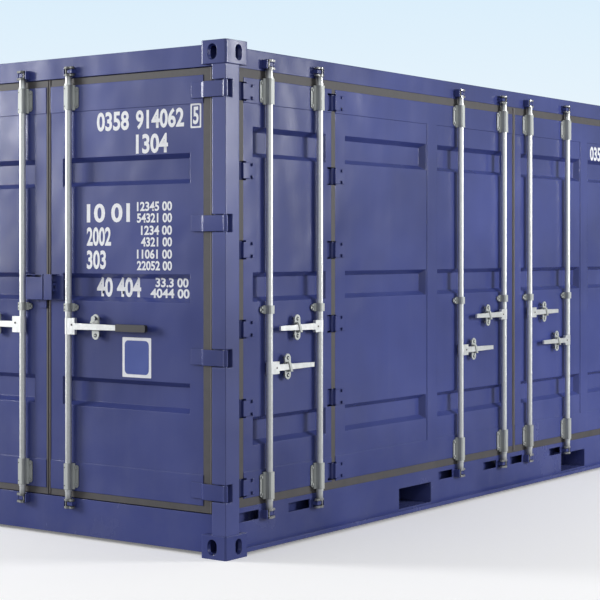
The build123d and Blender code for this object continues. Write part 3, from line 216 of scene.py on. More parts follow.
grime, grime_in, grime_out = start_group("grime", GRIME_INPUTS, "Mask")
grime_spot = add_node(grime, "ShaderNodeTexCoord").outputs["Object"]
height = add_node(grime, "ShaderNodeSeparateXYZ", {0: grime_spot}).outputs["Z"]
fade = ramp(grime, height, grime_in["High"], grime_in["Low"], interpolation_type="SMOOTHSTEP")
cloud = ramp(grime, noise(grime, grime_spot, CLOUD_SCALE, 6.0, 0.62), *CLOUD_CUT)
drawn_up = add_node(grime, "ShaderNodeMapping", {"Vector": grime_spot, "Scale": STREAK_SHAPE})
streak = ramp(grime, noise(grime, drawn_up.outputs["Vector"], STREAK_SCALE, 4.0, 0.6), *STREAK_CUT)
low_part = combine(grime, "MULTIPLY", cloud, fade)
streak_part = combine(grime, "MULTIPLY", streak, grime_in["Streaks"])
both = combine(grime, "ADD", low_part, streak_part)
grime.links.new(combine(grime, "MULTIPLY", both, grime_in["Amount"], use_clamp=True), grime_out["Mask"])
print("group grime has", len(grime.nodes), "nodes")

# %% [markdown]
# ## Chipped edges
# Paint goes first from sharp edges. A Bevel node bends the normal near an edge, so the difference between
# the bent and the true normal marks edges without any extra geometry. Noise breaks that line into chips.

# %% Edge wear group
WEAR_INPUTS = {"Radius": 0.004, "Chip Scale": 30.0, "Threshold": 0.6}
EDGE_CUT = (0.995, 0.9)

edge_wear, wear_in, wear_out = start_group("edge wear", WEAR_INPUTS, "Mask")
bent = rounded_edge(edge_wear, wear_in["Radius"], 4)
true_normal = add_node(edge_wear, "ShaderNodeNewGeometry").outputs["True Normal"]
align = add_node(edge_wear, "ShaderNodeVectorMath", {0: bent, 1: true_normal}, operation="DOT_PRODUCT")
edge = ramp(edge_wear, align.outputs["Value"], *EDGE_CUT)
wear_spot = add_node(edge_wear, "ShaderNodeTexCoord").outputs["Object"]
chips = noise(edge_wear, wear_spot, wear_in["Chip Scale"], 5.0, 0.7)
chipped = combine(edge_wear, "GREATER_THAN", chips, wear_in["Threshold"])
edge_wear.links.new(combine(edge_wear, "MULTIPLY", edge, chipped), wear_out["Mask"])
print("group edge wear has", len(edge_wear.nodes), "nodes")

# %% [markdown]
# ## Blue paint
# The container is sprayed in semi-gloss navy. Seen close, such paint has a faint orange peel, and the
# thin sheet behind it is never quite flat, so reflections wander. Both are bump at very different scales.
# Part of the pale cast on the doors is the bright surroundings mirrored in the paint, so the base colour
# is darker than the doors look. The colour drifts a little too, and dust and chips come from the two
# groups.

# %% Blue paint
BLUE = linear(59, 68, 127)
# The paler blue of the posts is painted sheen for the light that their rounded corner catches.
POST_SHEEN_BLUE = linear(74, 82, 138)
DUST = linear(122, 124, 146)
CHIPPED = linear(120, 124, 140)
CHIP_THRESHOLD = 0.74
PAINT_ROUGHNESS = 0.24
DUST_ROUGHNESS = 0.6
DRIFT_SCALE = 1.1
DRIFT_CUT = (0.3, 0.7)
DRIFT_TONES = (0.78, 1.26)
WAVE_SCALE = 2.6
WAVE_DEPTH = 0.02
PEEL_SCALE = 260.0
PEEL_STRENGTH = 0.08
FINE_DEPTH = 0.001


def paint_material(name, colour, sheet_wave, edge_radius):
    material, tree, shader, spot = start_material(name)
    drift = ramp(tree, noise(tree, spot, DRIFT_SCALE, 3.0), *DRIFT_CUT, *DRIFT_TONES)
    dust_mask = group_mask(tree, grime, {"Amount": 0.14, "Streaks": 0.22})
    dusty = blend(tree, dust_mask, shade(tree, colour, drift), DUST)
    chip_mask = group_mask(tree, edge_wear, {"Threshold": CHIP_THRESHOLD})
    tree.links.new(blend(tree, chip_mask, dusty, CHIPPED), shader["Base Color"])
    tree.links.new(ramp(tree, dust_mask, 0.0, 1.0, PAINT_ROUGHNESS, DUST_ROUGHNESS), shader["Roughness"])
    wave = noise(tree, spot, WAVE_SCALE, 1.5)
    peel = noise(tree, spot, PEEL_SCALE, 2.0)
    broad = bumped(tree, wave, sheet_wave, WAVE_DEPTH, rounded_edge(tree, edge_radius, 6))
    tree.links.new(bumped(tree, peel, PEEL_STRENGTH, FINE_DEPTH, broad), shader["Normal"])
    return material


blue_paint = paint_material("blue_paint", BLUE, 0.8, 0.004)
post_sheen_paint = paint_material("post_sheen_paint", POST_SHEEN_BLUE, 0.2, 0.008)
print("materials", blue_paint.name, post_sheen_paint.name)

# %% [markdown]
# ## Galvanised steel
# Rods, bearings, cams and handles are hot-dip galvanised. Zinc freezes in crystals, so the grey changes
# tone from patch to patch, which a Voronoi cell colour gives. It is a metal, but a dull one. Bearings and
# cams have weathered darker and rougher than the smooth rods, and an ambient occlusion node paints shade
# into the colour of their corners. At both ends of a rod, where the cams are, the grey is made darker by
# height.

# %% Galvanised steel
END_DARK_TONE = linear(84, 84, 82)
ZINC_DUST = linear(120, 116, 110)
CRYSTAL_SCALE = 90.0
CRYSTAL_TONES = (0.95, 1.03)
NOOK_REACH = 0.02
NOOK_CUT = (0.1, 0.62)
TOP_CAMS = (2.43, 2.475)
TOP_DARKENING = 0.75
FOOT_CAMS = (0.24, 0.205)
FOOT_DARKENING = 0.6
DULL_METAL = 0.6
CAST_SCALE = 120.0
ZINC_EDGE = 0.0015


def galvanised_material(name, tone, roughness, nook_shade_tone):
    material, tree, shader, spot = start_material(name)
    crystal = add_node(tree, "ShaderNodeTexVoronoi", {"Vector": spot, "Scale": CRYSTAL_SCALE})
    colour_parts = add_node(tree, "ShaderNodeSeparateColor", {"Color": crystal.outputs["Color"]})
    spangle = colour_parts.outputs["Red"]
    base = shade(tree, tone, ramp(tree, spangle, 0.0, 1.0, *CRYSTAL_TONES))
    # Painted shade: where ambient occlusion finds nearby surfaces, the colour goes to the darker nook tone.
    open_air = add_node(tree, "ShaderNodeAmbientOcclusion", {"Distance": NOOK_REACH}, samples=4)
    nook_shaded = blend(tree, ramp(tree, open_air.outputs["AO"], *NOOK_CUT), nook_shade_tone, base)
    # The grey is made darker by height at both ends of a rod, where the cams are.
    level = add_node(tree, "ShaderNodeSeparateXYZ", {0: spot}).outputs["Z"]
    at_top = ramp(tree, level, *TOP_CAMS, 0.0, TOP_DARKENING)
    at_foot = ramp(tree, level, *FOOT_CAMS, 0.0, FOOT_DARKENING)
    ends_darkened = blend(tree, combine(tree, "ADD", at_top, at_foot), nook_shaded, END_DARK_TONE)
    dulled = blend(tree, group_mask(tree, grime, {"Amount": 0.25}), ends_darkened, ZINC_DUST)
    tree.links.new(dulled, shader["Base Color"])
    shader["Metallic"].default_value = DULL_METAL
    tree.links.new(ramp(tree, spangle, 0.0, 1.0, roughness - 0.04, roughness + 0.05), shader["Roughness"])
    cast = noise(tree, spot, CAST_SCALE, 3.0)
    edge_normal = rounded_edge(tree, ZINC_EDGE, 4)
    tree.links.new(bumped(tree, cast, 0.08, FINE_DEPTH, edge_normal), shader["Normal"])
    return material


zinc = galvanised_material("galvanised_steel", linear(226, 228, 226), 0.32, linear(70, 72, 74))
cast_zinc = galvanised_material("galvanised_fittings", linear(178, 181, 178), 0.6, linear(44, 46, 48))
print("materials", zinc.name, cast_zinc.name)

# %% [markdown]
# ## Rubber, grip, plywood and marks
# The gaskets are grey-brown rubber that has weathered pale, with a paler rubber on their lips as a painted
# highlight, the grips are black moulded plastic, and the floor is sealed plywood with a grain along the
# container. White numbers and the label are thin paint and foil. None of them needs more than a colour that
# varies, a roughness and a fine bump, so one function makes them all.

# %% Rubber, grip, plywood and marks
EVEN = (1.0, 1.0, 1.0)
UPRIGHT = (1.0, 1.0, 0.3)
LENGTHWISE = (0.6, 9.0, 9.0)


def dull_material(name, dark, pale, roughness, stretch, scale, bump):
    material, tree, shader, spot = start_material(name)
    drawn = add_node(tree, "ShaderNodeMapping", {"Vector": spot, "Scale": stretch}).outputs["Vector"]
    grain = noise(tree, drawn, scale, 6.0, 0.6)
    tree.links.new(blend(tree, grain, linear(*dark), linear(*pale)), shader["Base Color"])
    tree.links.new(ramp(tree, grain, 0.0, 1.0, roughness - 0.1, roughness + 0.1), shader["Roughness"])
    edge_normal = rounded_edge(tree, 0.002, 4)
    tree.links.new(bumped(tree, grain, bump, FINE_DEPTH, edge_normal), shader["Normal"])
    return material


rubber = dull_material("gasket_rubber", (48, 46, 48), (84, 80, 80), 0.6, EVEN, 14.0, 0.2)
# The lip rubber is paler than the gasket, a painted highlight along the raised lip.
lip_highlight_rubber = dull_material("gasket_lip", (80, 76, 76), (116, 110, 108), 0.5, UPRIGHT, 9.0, 0.2)
grip = dull_material("grip_plastic", (30, 29, 30), (48, 46, 48), 0.5, EVEN, 60.0, 0.3)
plywood = dull_material("floor_plywood", (88, 58, 40), (140, 100, 70), 0.55, LENGTHWISE, 8.0, 0.3)
white_mark = dull_material("white_mark", (214, 216, 222), (240, 241, 244), 0.45, EVEN, 40.0, 0.1)
label_blue = dull_material("label_blue", (50, 68, 140), (58, 80, 158), 0.35, EVEN, 5.0, 0.05)
dark_steel = dull_material("dark_steel", (40, 38, 38), (74, 70, 68), 0.5, EVEN, 90.0, 0.2)
print("materials", [m.name for m in (rubber, lip_highlight_rubber, grip, plywood, white_mark, label_blue, dark_steel)])

# %% [markdown]
# ## Finishes on the CAD pieces
# Every carried-over piece keeps its mesh and only gets a new material. The imported record says which slot
# each node takes, so the assignment is one loop over that list. Two kinds of piece get a variant of their
# slot: bearings and cams the darker zinc, and the corner posts a rounder bend, because they are folded from
# thick plate, and a paler paint, which is painted sheen for the light that their corner catches.

# %% Assign the finishes
FINISHES = {
    "paint": blue_paint,
    "galvanised": zinc,
    "rubber": rubber,
    "grip": grip,
    "plywood": plywood,
}
slot_of = {entry["node"]: entry["material_slot"] for entry in frame["record"]["subparts"]}
for name, obj in nodes.items():
    finish = FINISHES[slot_of[name]]
    if "bearings" in name or "cams" in name:
        finish = cast_zinc
    # The corner posts take the paler paint, a painted sheen.
    if "post" in name:
        finish = post_sheen_paint
    obj.data.materials.clear()
    obj.data.materials.append(finish)
print("finished", len(nodes), "nodes")

# %% [markdown]
# ## Places on the doors
# The small pieces sit on rods, bearings and door leaves. Their places are given as on a drawing: across
# the wall, up from the ground, and inwards from the outer face of the container, all in millimetres. The
# rods of the end doors are read from the CAD pieces, so bolts stay on them.


# %% Places
def on_end(across, height, depth):
    return Vector((cad_low.x + depth * MM, across * MM, height * MM))


def on_side(across, height, depth):
    return Vector((across * MM, cad_low.y + depth * MM, height * MM))


def middle_across(node_name):
    low_corner, high_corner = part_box(node_name)
    return (low_corner[1] + high_corner[1]) / 2 / MM


END_OUT = Vector((-1.0, 0.0, 0.0))
SIDE_OUT = Vector((0.0, -1.0, 0.0))
AWAY_FROM_DOORS = Vector((1.0, 0.0, 0.0))
UP = Vector((0.0, 0.0, 1.0))
DOOR_FACE = 46.0
GASKET_FACE = 49.0
ROD_OF_DOOR = {
    "near_door": middle_across("end_lock_rod_near"),
    "far_door": middle_across("end_lock_rod_far"),
}
HANDLE_SIDE = {"near_door": -1, "far_door": 1}
SIDE_RODS = (-2642.0, -2195.0, -711.0, -171.0, 171.0, 711.0, 2195.0, 2642.0)
TALL_BEARINGS = ((262.0, 401.0), (2291.0, 2425.0))
MIDDLE_BEARING = (1215.0, 1257.0)
HIGH_HANDLE = 1136.0
LOW_HANDLE = 934.0
print("end rods at", {door: round(rod, 1) for door, rod in ROD_OF_DOOR.items()})

# %% [markdown]
# ## Making a piece
# Each new piece is a mesh that rides on a body, so it follows when a door swings, and takes one of the
# materials made above. Pieces with thickness are closed and have their faces turned outwards.


# %% Making a piece
def hang_mesh(name, mesh, material, body):
    mesh.materials.append(material)
    piece = bpy.data.objects.new(name, mesh)
    bpy.context.scene.collection.objects.link(piece)
    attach(piece, body)


def add_piece(name, vertices, faces, material, body):
    mesh = bpy.data.meshes.new(name)
    mesh.from_pydata(vertices, [], faces)
    shape = bmesh.new()
    shape.from_mesh(mesh)
    bmesh.ops.recalc_face_normals(shape, faces=shape.faces)
    shape.to_mesh(mesh)
    shape.free()
    hang_mesh(name, mesh, material, body)


# %% [markdown]
# ## Bolt heads
# Every fitting on a container door is bolted: two bolts hold each bearing strip, two more clamp the
# bearing round the rod, and a pair holds each handle catch. A hexagonal prism with a chamfered top is
# enough at this scale. All heads of one kind and body are one mesh, so that a door carries its bolts
# along when it swings.


# %% Bolt heads
HEX = 6
HEAD_RINGS = ((0.0, 1.0), (0.7, 1.0), (1.0, 0.78))


def bolt_heads(name, places, out, size, material, body):
    """Size is the head's radius and height in millimetres."""
    radius, tall = size
    side = UP.cross(out)
    vertices = []
    faces = []
    for seat in places:
        first = len(vertices)
        for reach, share in HEAD_RINGS:
            for k in range(HEX):
                angle = 2 * math.pi * (k + 0.5) / HEX
                ring = side * math.cos(angle) + UP * math.sin(angle)
                vertices.append(seat + out * (reach * tall * MM) + ring * (radius * share * MM))
        for level in (0, HEX):
            for k in range(HEX):
                a = first + level + k
                b = first + level + (k + 1) % HEX
                faces.append((a, b, b + HEX, a + HEX))
        faces.append(tuple(range(first, first + HEX)))
        faces.append(tuple(range(first + 2 * HEX, first + 3 * HEX)))
    add_piece(name, vertices, faces, material, body)


STRIP_BOLT_INSET = 26.0
CLAMP_BOLT_SHARE = 0.15
MIDDLE_BOLT_SPREAD = 10.0
strip_levels = []
clamp_levels = []
for low, high in TALL_BEARINGS:
    strip_levels += [low + STRIP_BOLT_INSET, high - STRIP_BOLT_INSET]
    clamp_inset = (high - low) * CLAMP_BOLT_SHARE
    clamp_levels += [low + clamp_inset, high - clamp_inset]
middle_level = sum(MIDDLE_BEARING) / 2
middle_pair = [middle_level - MIDDLE_BOLT_SPREAD, middle_level + MIDDLE_BOLT_SPREAD]
strip_levels += middle_pair
clamp_levels += middle_pair
print("bolts at", sorted(strip_levels), "mm on each rod")

# %% [markdown]
# ## Bolts on the end doors
# Each end door has one rod. Its strip stands beside the rod, its clamp bolts show as small dark heads on
# the front of the bearing, and the bolt of the hub turns with the rod, so it rides on the rod's own body.

# %% Bolts on the end doors
STRIP_MIDDLE = 41.0
STRIP_DEPTH = 40.0
STRIP_BOLT = (8.0, 6.0)
CLAMP_OFFSET = 9.0
BEARING_FRONT = 1.0
CLAMP_BOLT = (4.0, 0.8)
HUB_BOLT_OFFSET = 40.0
HUB_BOLT_RISE = 8.0
HUB_FRONT = 4.0
HUB_BOLT = (6.0, 2.5)
END_CATCH = 198.0
CATCH_HALF_SPACING = 45.0
CATCH_BOLT = (7.5, 29.0)

for door, rod in ROD_OF_DOOR.items():
    short = door.replace("_door", "")
    hand = HANDLE_SIDE[door]
    strip_places = [on_end(rod - STRIP_MIDDLE, level, STRIP_DEPTH) for level in strip_levels]
    bolt_heads(f"strip_bolts_{short}", strip_places, END_OUT, STRIP_BOLT, cast_zinc, door)
    clamp_places = [on_end(rod + CLAMP_OFFSET, level, BEARING_FRONT) for level in clamp_levels]
    bolt_heads(f"clamp_bolts_{short}", clamp_places, END_OUT, CLAMP_BOLT, dark_steel, door)
    hub_places = [on_end(rod + hand * HUB_BOLT_OFFSET, HIGH_HANDLE + HUB_BOLT_RISE, HUB_FRONT)]
    bolt_heads(f"hub_bolt_{short}", hub_places, END_OUT, HUB_BOLT, dark_steel, f"{short}_lock_rod")
    catch = rod + hand * END_CATCH
    catch_levels = (HIGH_HANDLE - CATCH_HALF_SPACING, HIGH_HANDLE + CATCH_HALF_SPACING)
    catch_places = [on_end(catch, level, DOOR_FACE) for level in catch_levels]
    bolt_heads(f"catch_bolts_{short}", catch_places, END_OUT, CATCH_BOLT, cast_zinc, door)
print("bolts on", len(ROD_OF_DOOR), "end rods")

# %% [markdown]
# ## Bolts on the side doors
# The eight rods of the side doors stand in mirrored pairs. Here the clamp bolts show on the flank of each
# bearing, and the handles point inwards or outwards, so each catch is given by how far it stands from its
# rod.

# %% Bolts on the side doors
FLANK_OFFSET = 21.0
FLANK_DEPTH = 17.0
FLANK_BOLT = (6.0, 6.0)
SIDE_HUB_BOLT = (5.0, 2.5)
# rod, level of its handle, and how far the catch stands from the rod
SIDE_HANDLES = (
    (-2642.0, LOW_HANDLE, 157.0),
    (-2195.0, HIGH_HANDLE, -205.0),
    (-711.0, LOW_HANDLE, 157.0),
    (-171.0, HIGH_HANDLE, -205.0),
)

strip_places = []
flank_places = []
for rod in SIDE_RODS:
    strip_places += [on_side(rod - STRIP_MIDDLE, level, STRIP_DEPTH) for level in strip_levels]
    flank_places += [on_side(rod + FLANK_OFFSET, level, FLANK_DEPTH) for level in clamp_levels]
bolt_heads("side_strip_bolts", strip_places, SIDE_OUT, STRIP_BOLT, cast_zinc, "container")
bolt_heads("side_clamp_bolts", flank_places, AWAY_FROM_DOORS, FLANK_BOLT, cast_zinc, "container")
hub_places = []
catch_places = []
for rod, level, reach in SIDE_HANDLES:
    for mirror in (1, -1):
        hub_side = math.copysign(HUB_BOLT_OFFSET, reach)
        hub_places.append(on_side(mirror * (rod + hub_side), level, HUB_FRONT))
        for step in (-CATCH_HALF_SPACING, CATCH_HALF_SPACING):
            catch_places.append(on_side(mirror * (rod + reach), level + step, DOOR_FACE))
bolt_heads("side_hub_bolts", hub_places, SIDE_OUT, SIDE_HUB_BOLT, dark_steel, "container")
bolt_heads("side_catch_bolts", catch_places, SIDE_OUT, CATCH_BOLT, cast_zinc, "container")
print("bolts on", len(SIDE_RODS), "side rods:", len(strip_places + flank_places + hub_places + catch_places))

# %% [markdown]
# ## Gasket lips
# A door gasket is an extruded strip with a raised lip along its middle, which catches the light as a pale
# line; the lip's paler rubber is a painted highlight. A half-round bar that follows a straight run is
# enough for it, and for the weld beads further on.


# %% Gasket lips
ARC_STEPS = 6


def half_rounds(name, runs, out, radius, material, body):
    vertices = []
    faces = []
    for start, end in runs:
        first = len(vertices)
        across = (end - start).normalized().cross(out)
        for tip in (start, end):
            for k in range(ARC_STEPS + 1):
                angle = math.pi * k / ARC_STEPS
                bow = across * math.cos(angle) + out * math.sin(angle)
                vertices.append(tip + bow * (radius * MM))
        count = ARC_STEPS + 1
        for k in range(ARC_STEPS):
            faces.append((first + k, first + k + 1, first + k + 1 + count, first + k + count))
        faces.append((first, first + ARC_STEPS, first + ARC_STEPS + count, first + count))
        faces.append(tuple(range(first, first + count)))
        faces.append(tuple(range(first + count, first + 2 * count)))
    add_piece(name, vertices, faces, material, body)


def gasket_lips(name, at, places, span, out, body):
    runs = [(at(across, span[0], GASKET_FACE), at(across, span[1], GASKET_FACE)) for across in places]
    half_rounds(name, runs, out, LIP_RADIUS, lip_highlight_rubber, body)


LIP_RADIUS = 5.0
END_LIP = (222.0, 2462.0)
SIDE_LIP = (248.0, 2458.0)
NEAR_LIPS = (-1088.0, 39.0)
FAR_LIPS = (1147.0,)
SIDE_LIPS = (-2874.0, -8.0, 8.0, 2874.0)
gasket_lips("gasket_lips_near", on_end, NEAR_LIPS, END_LIP, END_OUT, "near_door")
gasket_lips("gasket_lips_far", on_end, FAR_LIPS, END_LIP, END_OUT, "far_door")
gasket_lips("gasket_lips_side", on_side, SIDE_LIPS, SIDE_LIP, SIDE_OUT, "container")
print("gasket lips", len(NEAR_LIPS + FAR_LIPS + SIDE_LIPS))

# %% [markdown]
# ## Weld beads
# Where the posts meet the corner castings, the welder left a bead. Each bead runs across one post, from
# just inside the corner to where the post ends, above the lower casting or below the upper one.

# %% Weld beads
CASTING_HEIGHT = 118.0
POST_SETBACK = 6.0
BEAD_INSET = 2.0
BEAD_RADIUS = 3.5
# how far from the corner the beads end: near and far post, and along the side
END_BEAD_REACH = {-1: 94.0, 1: 49.0}
SIDE_BEAD_REACH = 108.0

half_width = cad_high.y / MM
half_length = cad_high.x / MM
casting_levels = (CASTING_HEIGHT, cad_high.z / MM - CASTING_HEIGHT)
end_beads = []
for side, bead_reach in END_BEAD_REACH.items():
    for level in casting_levels:
        outer = side * (half_width - POST_SETBACK - BEAD_INSET)
        inner = side * (half_width - bead_reach)
        end_beads.append((on_end(outer, level, POST_SETBACK), on_end(inner, level, POST_SETBACK)))
side_beads = []
for end in (-1, 1):
    for level in casting_levels:
        outer = end * (half_length - POST_SETBACK - BEAD_INSET)
        inner = end * (half_length - SIDE_BEAD_REACH)
        side_beads.append((on_side(outer, level, POST_SETBACK), on_side(inner, level, POST_SETBACK)))
half_rounds("end_weld_beads", end_beads, END_OUT, BEAD_RADIUS, blue_paint, "container")
half_rounds("side_weld_beads", side_beads, SIDE_OUT, BEAD_RADIUS, blue_paint, "container")
print("weld beads", len(end_beads) + len(side_beads))

# %% [markdown]
# ## Type that follows the sheet
# Rows of white numbers are painted on the doors. Built-in type is turned into a mesh, squeezed to the
# narrow proportion of stencil letters, and dropped onto the door leaf by casting a ray from each corner.
# Before that the letters are cut at the edges of the pressed bands, so that they follow the slopes as
# paint does.


# %% Type that follows the sheet
TYPE_BOLDNESS = 0.03
PAINT_LIFT = 0.4
BAND_EDGES = (1272.0, 1296.0, 1394.0, 1418.0, 2148.0, 2172.0)
RAY_START = -60.0


def type_mesh(words):
    curve = bpy.data.curves.new("type", "FONT")
    curve.body = words
    curve.resolution_u = 4
    curve.offset = TYPE_BOLDNESS
    text = bpy.data.objects.new("type", curve)
    bpy.context.scene.collection.objects.link(text)
    bpy.context.view_layer.update()
    graph = bpy.context.evaluated_depsgraph_get()
    mesh = bpy.data.meshes.new_from_object(text.evaluated_get(graph))
    bpy.data.objects.remove(text)
    bpy.data.curves.remove(curve)
    return mesh


def lay_on(mesh, at, out, leaf):
    """Drop a mesh, drawn in the wall's millimetres across and up, onto a door leaf."""
    shape = bmesh.new()
    shape.from_mesh(mesh)
    for cut in BAND_EDGES:
        bmesh.ops.bisect_plane(
            shape, geom=shape.verts[:] + shape.edges[:] + shape.faces[:],
            plane_co=(0.0, cut, 0.0), plane_no=(0.0, 1.0, 0.0),
        )
    for corner in shape.verts:
        start = at(corner.co.x, corner.co.y, RAY_START)
        hit, hit_place, _, _ = leaf.ray_cast(start, -out)
        if hit:
            corner.co = hit_place + out * (PAINT_LIFT + corner.co.z) * MM
    shape.to_mesh(mesh)
    shape.free()


def place_marks(name, rows, at, out, leaf, body):
    """Rows are (words, left, right, bottom, top) in millimetres, left and right as a reader sees them."""
    joined = bmesh.new()
    for words, left, right, bottom, top in rows:
        mesh = type_mesh(words)
        across = [v.co.x for v in mesh.vertices]
        tall = [v.co.y for v in mesh.vertices]
        wide_scale = (right - left) / (max(across) - min(across))
        high_scale = (top - bottom) / (max(tall) - min(tall))
        move = Matrix.Translation((left - min(across) * wide_scale, bottom - min(tall) * high_scale, 0.0))
        mesh.transform(move @ Matrix.Diagonal((wide_scale, high_scale, 1.0, 1.0)))
        lay_on(mesh, at, out, leaf)
        joined.from_mesh(mesh)
        bpy.data.meshes.remove(mesh)
    result = bpy.data.meshes.new(name)
    joined.to_mesh(result)
    joined.free()
    hang_mesh(name, result, white_mark, body)


# %% [markdown]
# ## White numbers
# The number of the container stands at the top of a door, with its type below it. Under them come rows of
# a large number with two small ones beside it. Left edges line up, and each row has its own right edge.

# %% White numbers
CODE_ROW = (2169.0, 2270.0)
TYPE_ROW = (2042.0, 2144.0)
LAST_DIGIT_ROW = (2179.0, 2268.0)
SIDE_CODE_ROW = (2170.0, 2268.0)
# large number and its right edge, level, the two small numbers and their left edge
WEIGHT_ROWS = (
    ("10 01", -539.0, 1688.0, "12345 00", "54321 00", -588.0),
    ("2002", -406.0, 1564.0, "1234 00", "4321 00", -616.0),
    ("303", -370.0, 1441.0, "11061 00", "22052 00", -588.0),
)
WEIGHTS_LEFT = -232.0
WEIGHTS_RIGHT = -827.0
BIG_TYPE = 100.0
SMALL_TYPE = 49.0
SMALL_ABOVE = 5.0
SMALL_BELOW = 4.0

end_rows = [
    ("0358", -305.0, -532.0, *CODE_ROW),
    ("914062", -581.0, -907.0, *CODE_ROW),
    ("5", -967.0, -1003.0, *LAST_DIGIT_ROW),
    ("1304", -581.0, -800.0, *TYPE_ROW),
    ("40 404", -272.0, -585.0, 1295.0, 1399.0),
    ("33.3 00", -685.0, -907.0, 1350.0, 1399.0),
    ("4044 00", -650.0, -914.0, 1294.0, 1343.0),
]
for big, big_right, low_edge, upper, lower, small_left in WEIGHT_ROWS:
    top_edge = low_edge + BIG_TYPE
    upper_top = top_edge + SMALL_ABOVE
    lower_foot = low_edge - SMALL_BELOW
    end_rows.append((big, WEIGHTS_LEFT, big_right, low_edge, top_edge))
    end_rows.append((upper, small_left, WEIGHTS_RIGHT, upper_top - SMALL_TYPE, upper_top))
    end_rows.append((lower, small_left, WEIGHTS_RIGHT, lower_foot, lower_foot + SMALL_TYPE))
side_rows = [("0358", 1109.0, 1336.0, *SIDE_CODE_ROW), ("914062", 1385.0, 1711.0, *SIDE_CODE_ROW)]
near_leaf = nodes["end_door_leaf_near"]
side_leaf = nodes["side_door_leaf_3"]
place_marks("end_numbers", end_rows, on_end, END_OUT, near_leaf, "near_door")
place_marks("side_numbers", side_rows, on_side, SIDE_OUT, side_leaf, "container")
print("numbers", len(end_rows), "on", near_leaf.name, "and", len(side_rows), "on", side_leaf.name)

# %% [markdown]
# ## Frame round the last digit, and the label
# The last digit of a container number stands in a thin frame. Lower on the same door there is a label, a
# white rounded plate with a blue field. Both are rings or plates with a rounded outline, laid on the
# sheet.


# %% Frame and label
def rounded_outline(left, right, bottom, top, corner):
    """Corners of a rounded rectangle, counted from the lower left, in millimetres across and up."""
    low_x, high_x = sorted((left, right))
    centres = [
        (low_x + corner, bottom + corner, 180.0),
        (high_x - corner, bottom + corner, 270.0),
        (high_x - corner, top - corner, 0.0),
        (low_x + corner, top - corner, 90.0),
    ]
    outline = []
    for x, y, turn in centres:
        for k in range(ARC_STEPS + 1):
            angle = math.radians(turn + 90.0 * k / ARC_STEPS)
            outline.append((x + corner * math.cos(angle), y + corner * math.sin(angle)))
    return outline


def inset(box, step):
    left, right, bottom, top = box
    return (left - step, right + step, bottom + step, top - step)


def sticker(name, outline, hole, lift, material):
    mesh = bpy.data.meshes.new(name)
    count = len(outline)
    if hole:
        faces = [(k, (k + 1) % count, count + (k + 1) % count, count + k) for k in range(count)]
    else:
        faces = [tuple(range(count))]
    mesh.from_pydata([(x, y, lift) for x, y in outline + hole], [], faces)
    lay_on(mesh, on_end, END_OUT, near_leaf)
    hang_mesh(name, mesh, material, "near_door")


DIGIT_FRAME = (-950.0, -1020.0, 2160.0, 2284.0)
FRAME_BAR = 9.0
FRAME_CORNER = 5.0
LABEL = (-487.0, -686.0, 879.0, 1087.0)
LABEL_CORNER = 4.0
LABEL_BORDER = 16.0
FIELD_CORNER = 24.0
FIELD_LIFT = 0.5

frame_outer = rounded_outline(*DIGIT_FRAME, FRAME_CORNER)
frame_inner = rounded_outline(*inset(DIGIT_FRAME, FRAME_BAR), FRAME_CORNER)
sticker("check_digit_frame", frame_outer, frame_inner, 0.0, white_mark)
sticker("label_plate", rounded_outline(*LABEL, LABEL_CORNER), [], 0.0, white_mark)
label_field = rounded_outline(*inset(LABEL, LABEL_BORDER), FIELD_CORNER)
sticker("label_field", label_field, [], FIELD_LIFT, label_blue)
print("label", round(LABEL[0] - LABEL[1]), "mm wide and", round(LABEL[3] - LABEL[2]), "mm tall")

# %% [markdown]
# ## Catch levers
# A small pivoted lever on each end catch drops over the handle to keep it shut. It hangs from the upper
# bolt and leans towards the rod. It stops just above the handle, so that the handle can swing out past
# it.

# %% Catch levers
LEVER_ROUND = 14.0
LEVER_STEPS = 8
LEVER_TAIL = ((-14.0, -8.0), (-22.0, -25.0), (-6.0, -26.0), (14.0, -10.0))
LEVER_DEPTHS = (4.0, 0.5)
PIN_DEPTH = 18.0
LEVER_PIN = (7.0, 16.5)

outline = []
for k in range(LEVER_STEPS + 1):
    angle = math.pi * k / LEVER_STEPS
    outline.append((LEVER_ROUND * math.cos(angle), LEVER_ROUND * math.sin(angle)))
outline += LEVER_TAIL
count = len(outline)
faces = [tuple(range(count)), tuple(range(count, 2 * count))]
for k in range(count):
    following = (k + 1) % count
    faces.append((k, following, count + following, count + k))

pivot = HIGH_HANDLE + CATCH_HALF_SPACING
for door, rod in ROD_OF_DOOR.items():
    short = door.replace("_door", "")
    hand = HANDLE_SIDE[door]
    centre = rod + hand * END_CATCH
    vertices = []
    for depth in LEVER_DEPTHS:
        vertices += [on_end(centre + hand * x, pivot + rise, depth) for x, rise in outline]
    add_piece(f"catch_lever_{short}", vertices, faces, cast_zinc, door)
    bolt_heads(f"lever_pin_{short}", [on_end(centre, pivot, PIN_DEPTH)], END_OUT, LEVER_PIN, cast_zinc, door)
print("catch levers", len(ROD_OF_DOOR), "at", pivot, "mm")

# %% [markdown]
# ## Floor
# The container stands on a pale floor. Seen by the camera it is nearly white and glows a little, and all
# other light meets a grey floor, so that the paint isn't washed out from below.

# %% Floor
FLOOR_HALF = 60.0
FLOOR_SEEN = linear(250, 250, 250)
FLOOR_FOR_LIGHT = linear(150, 152, 160)
FLOOR_GLOW = 0.2
FLOOR_ROUGHNESS = 0.9

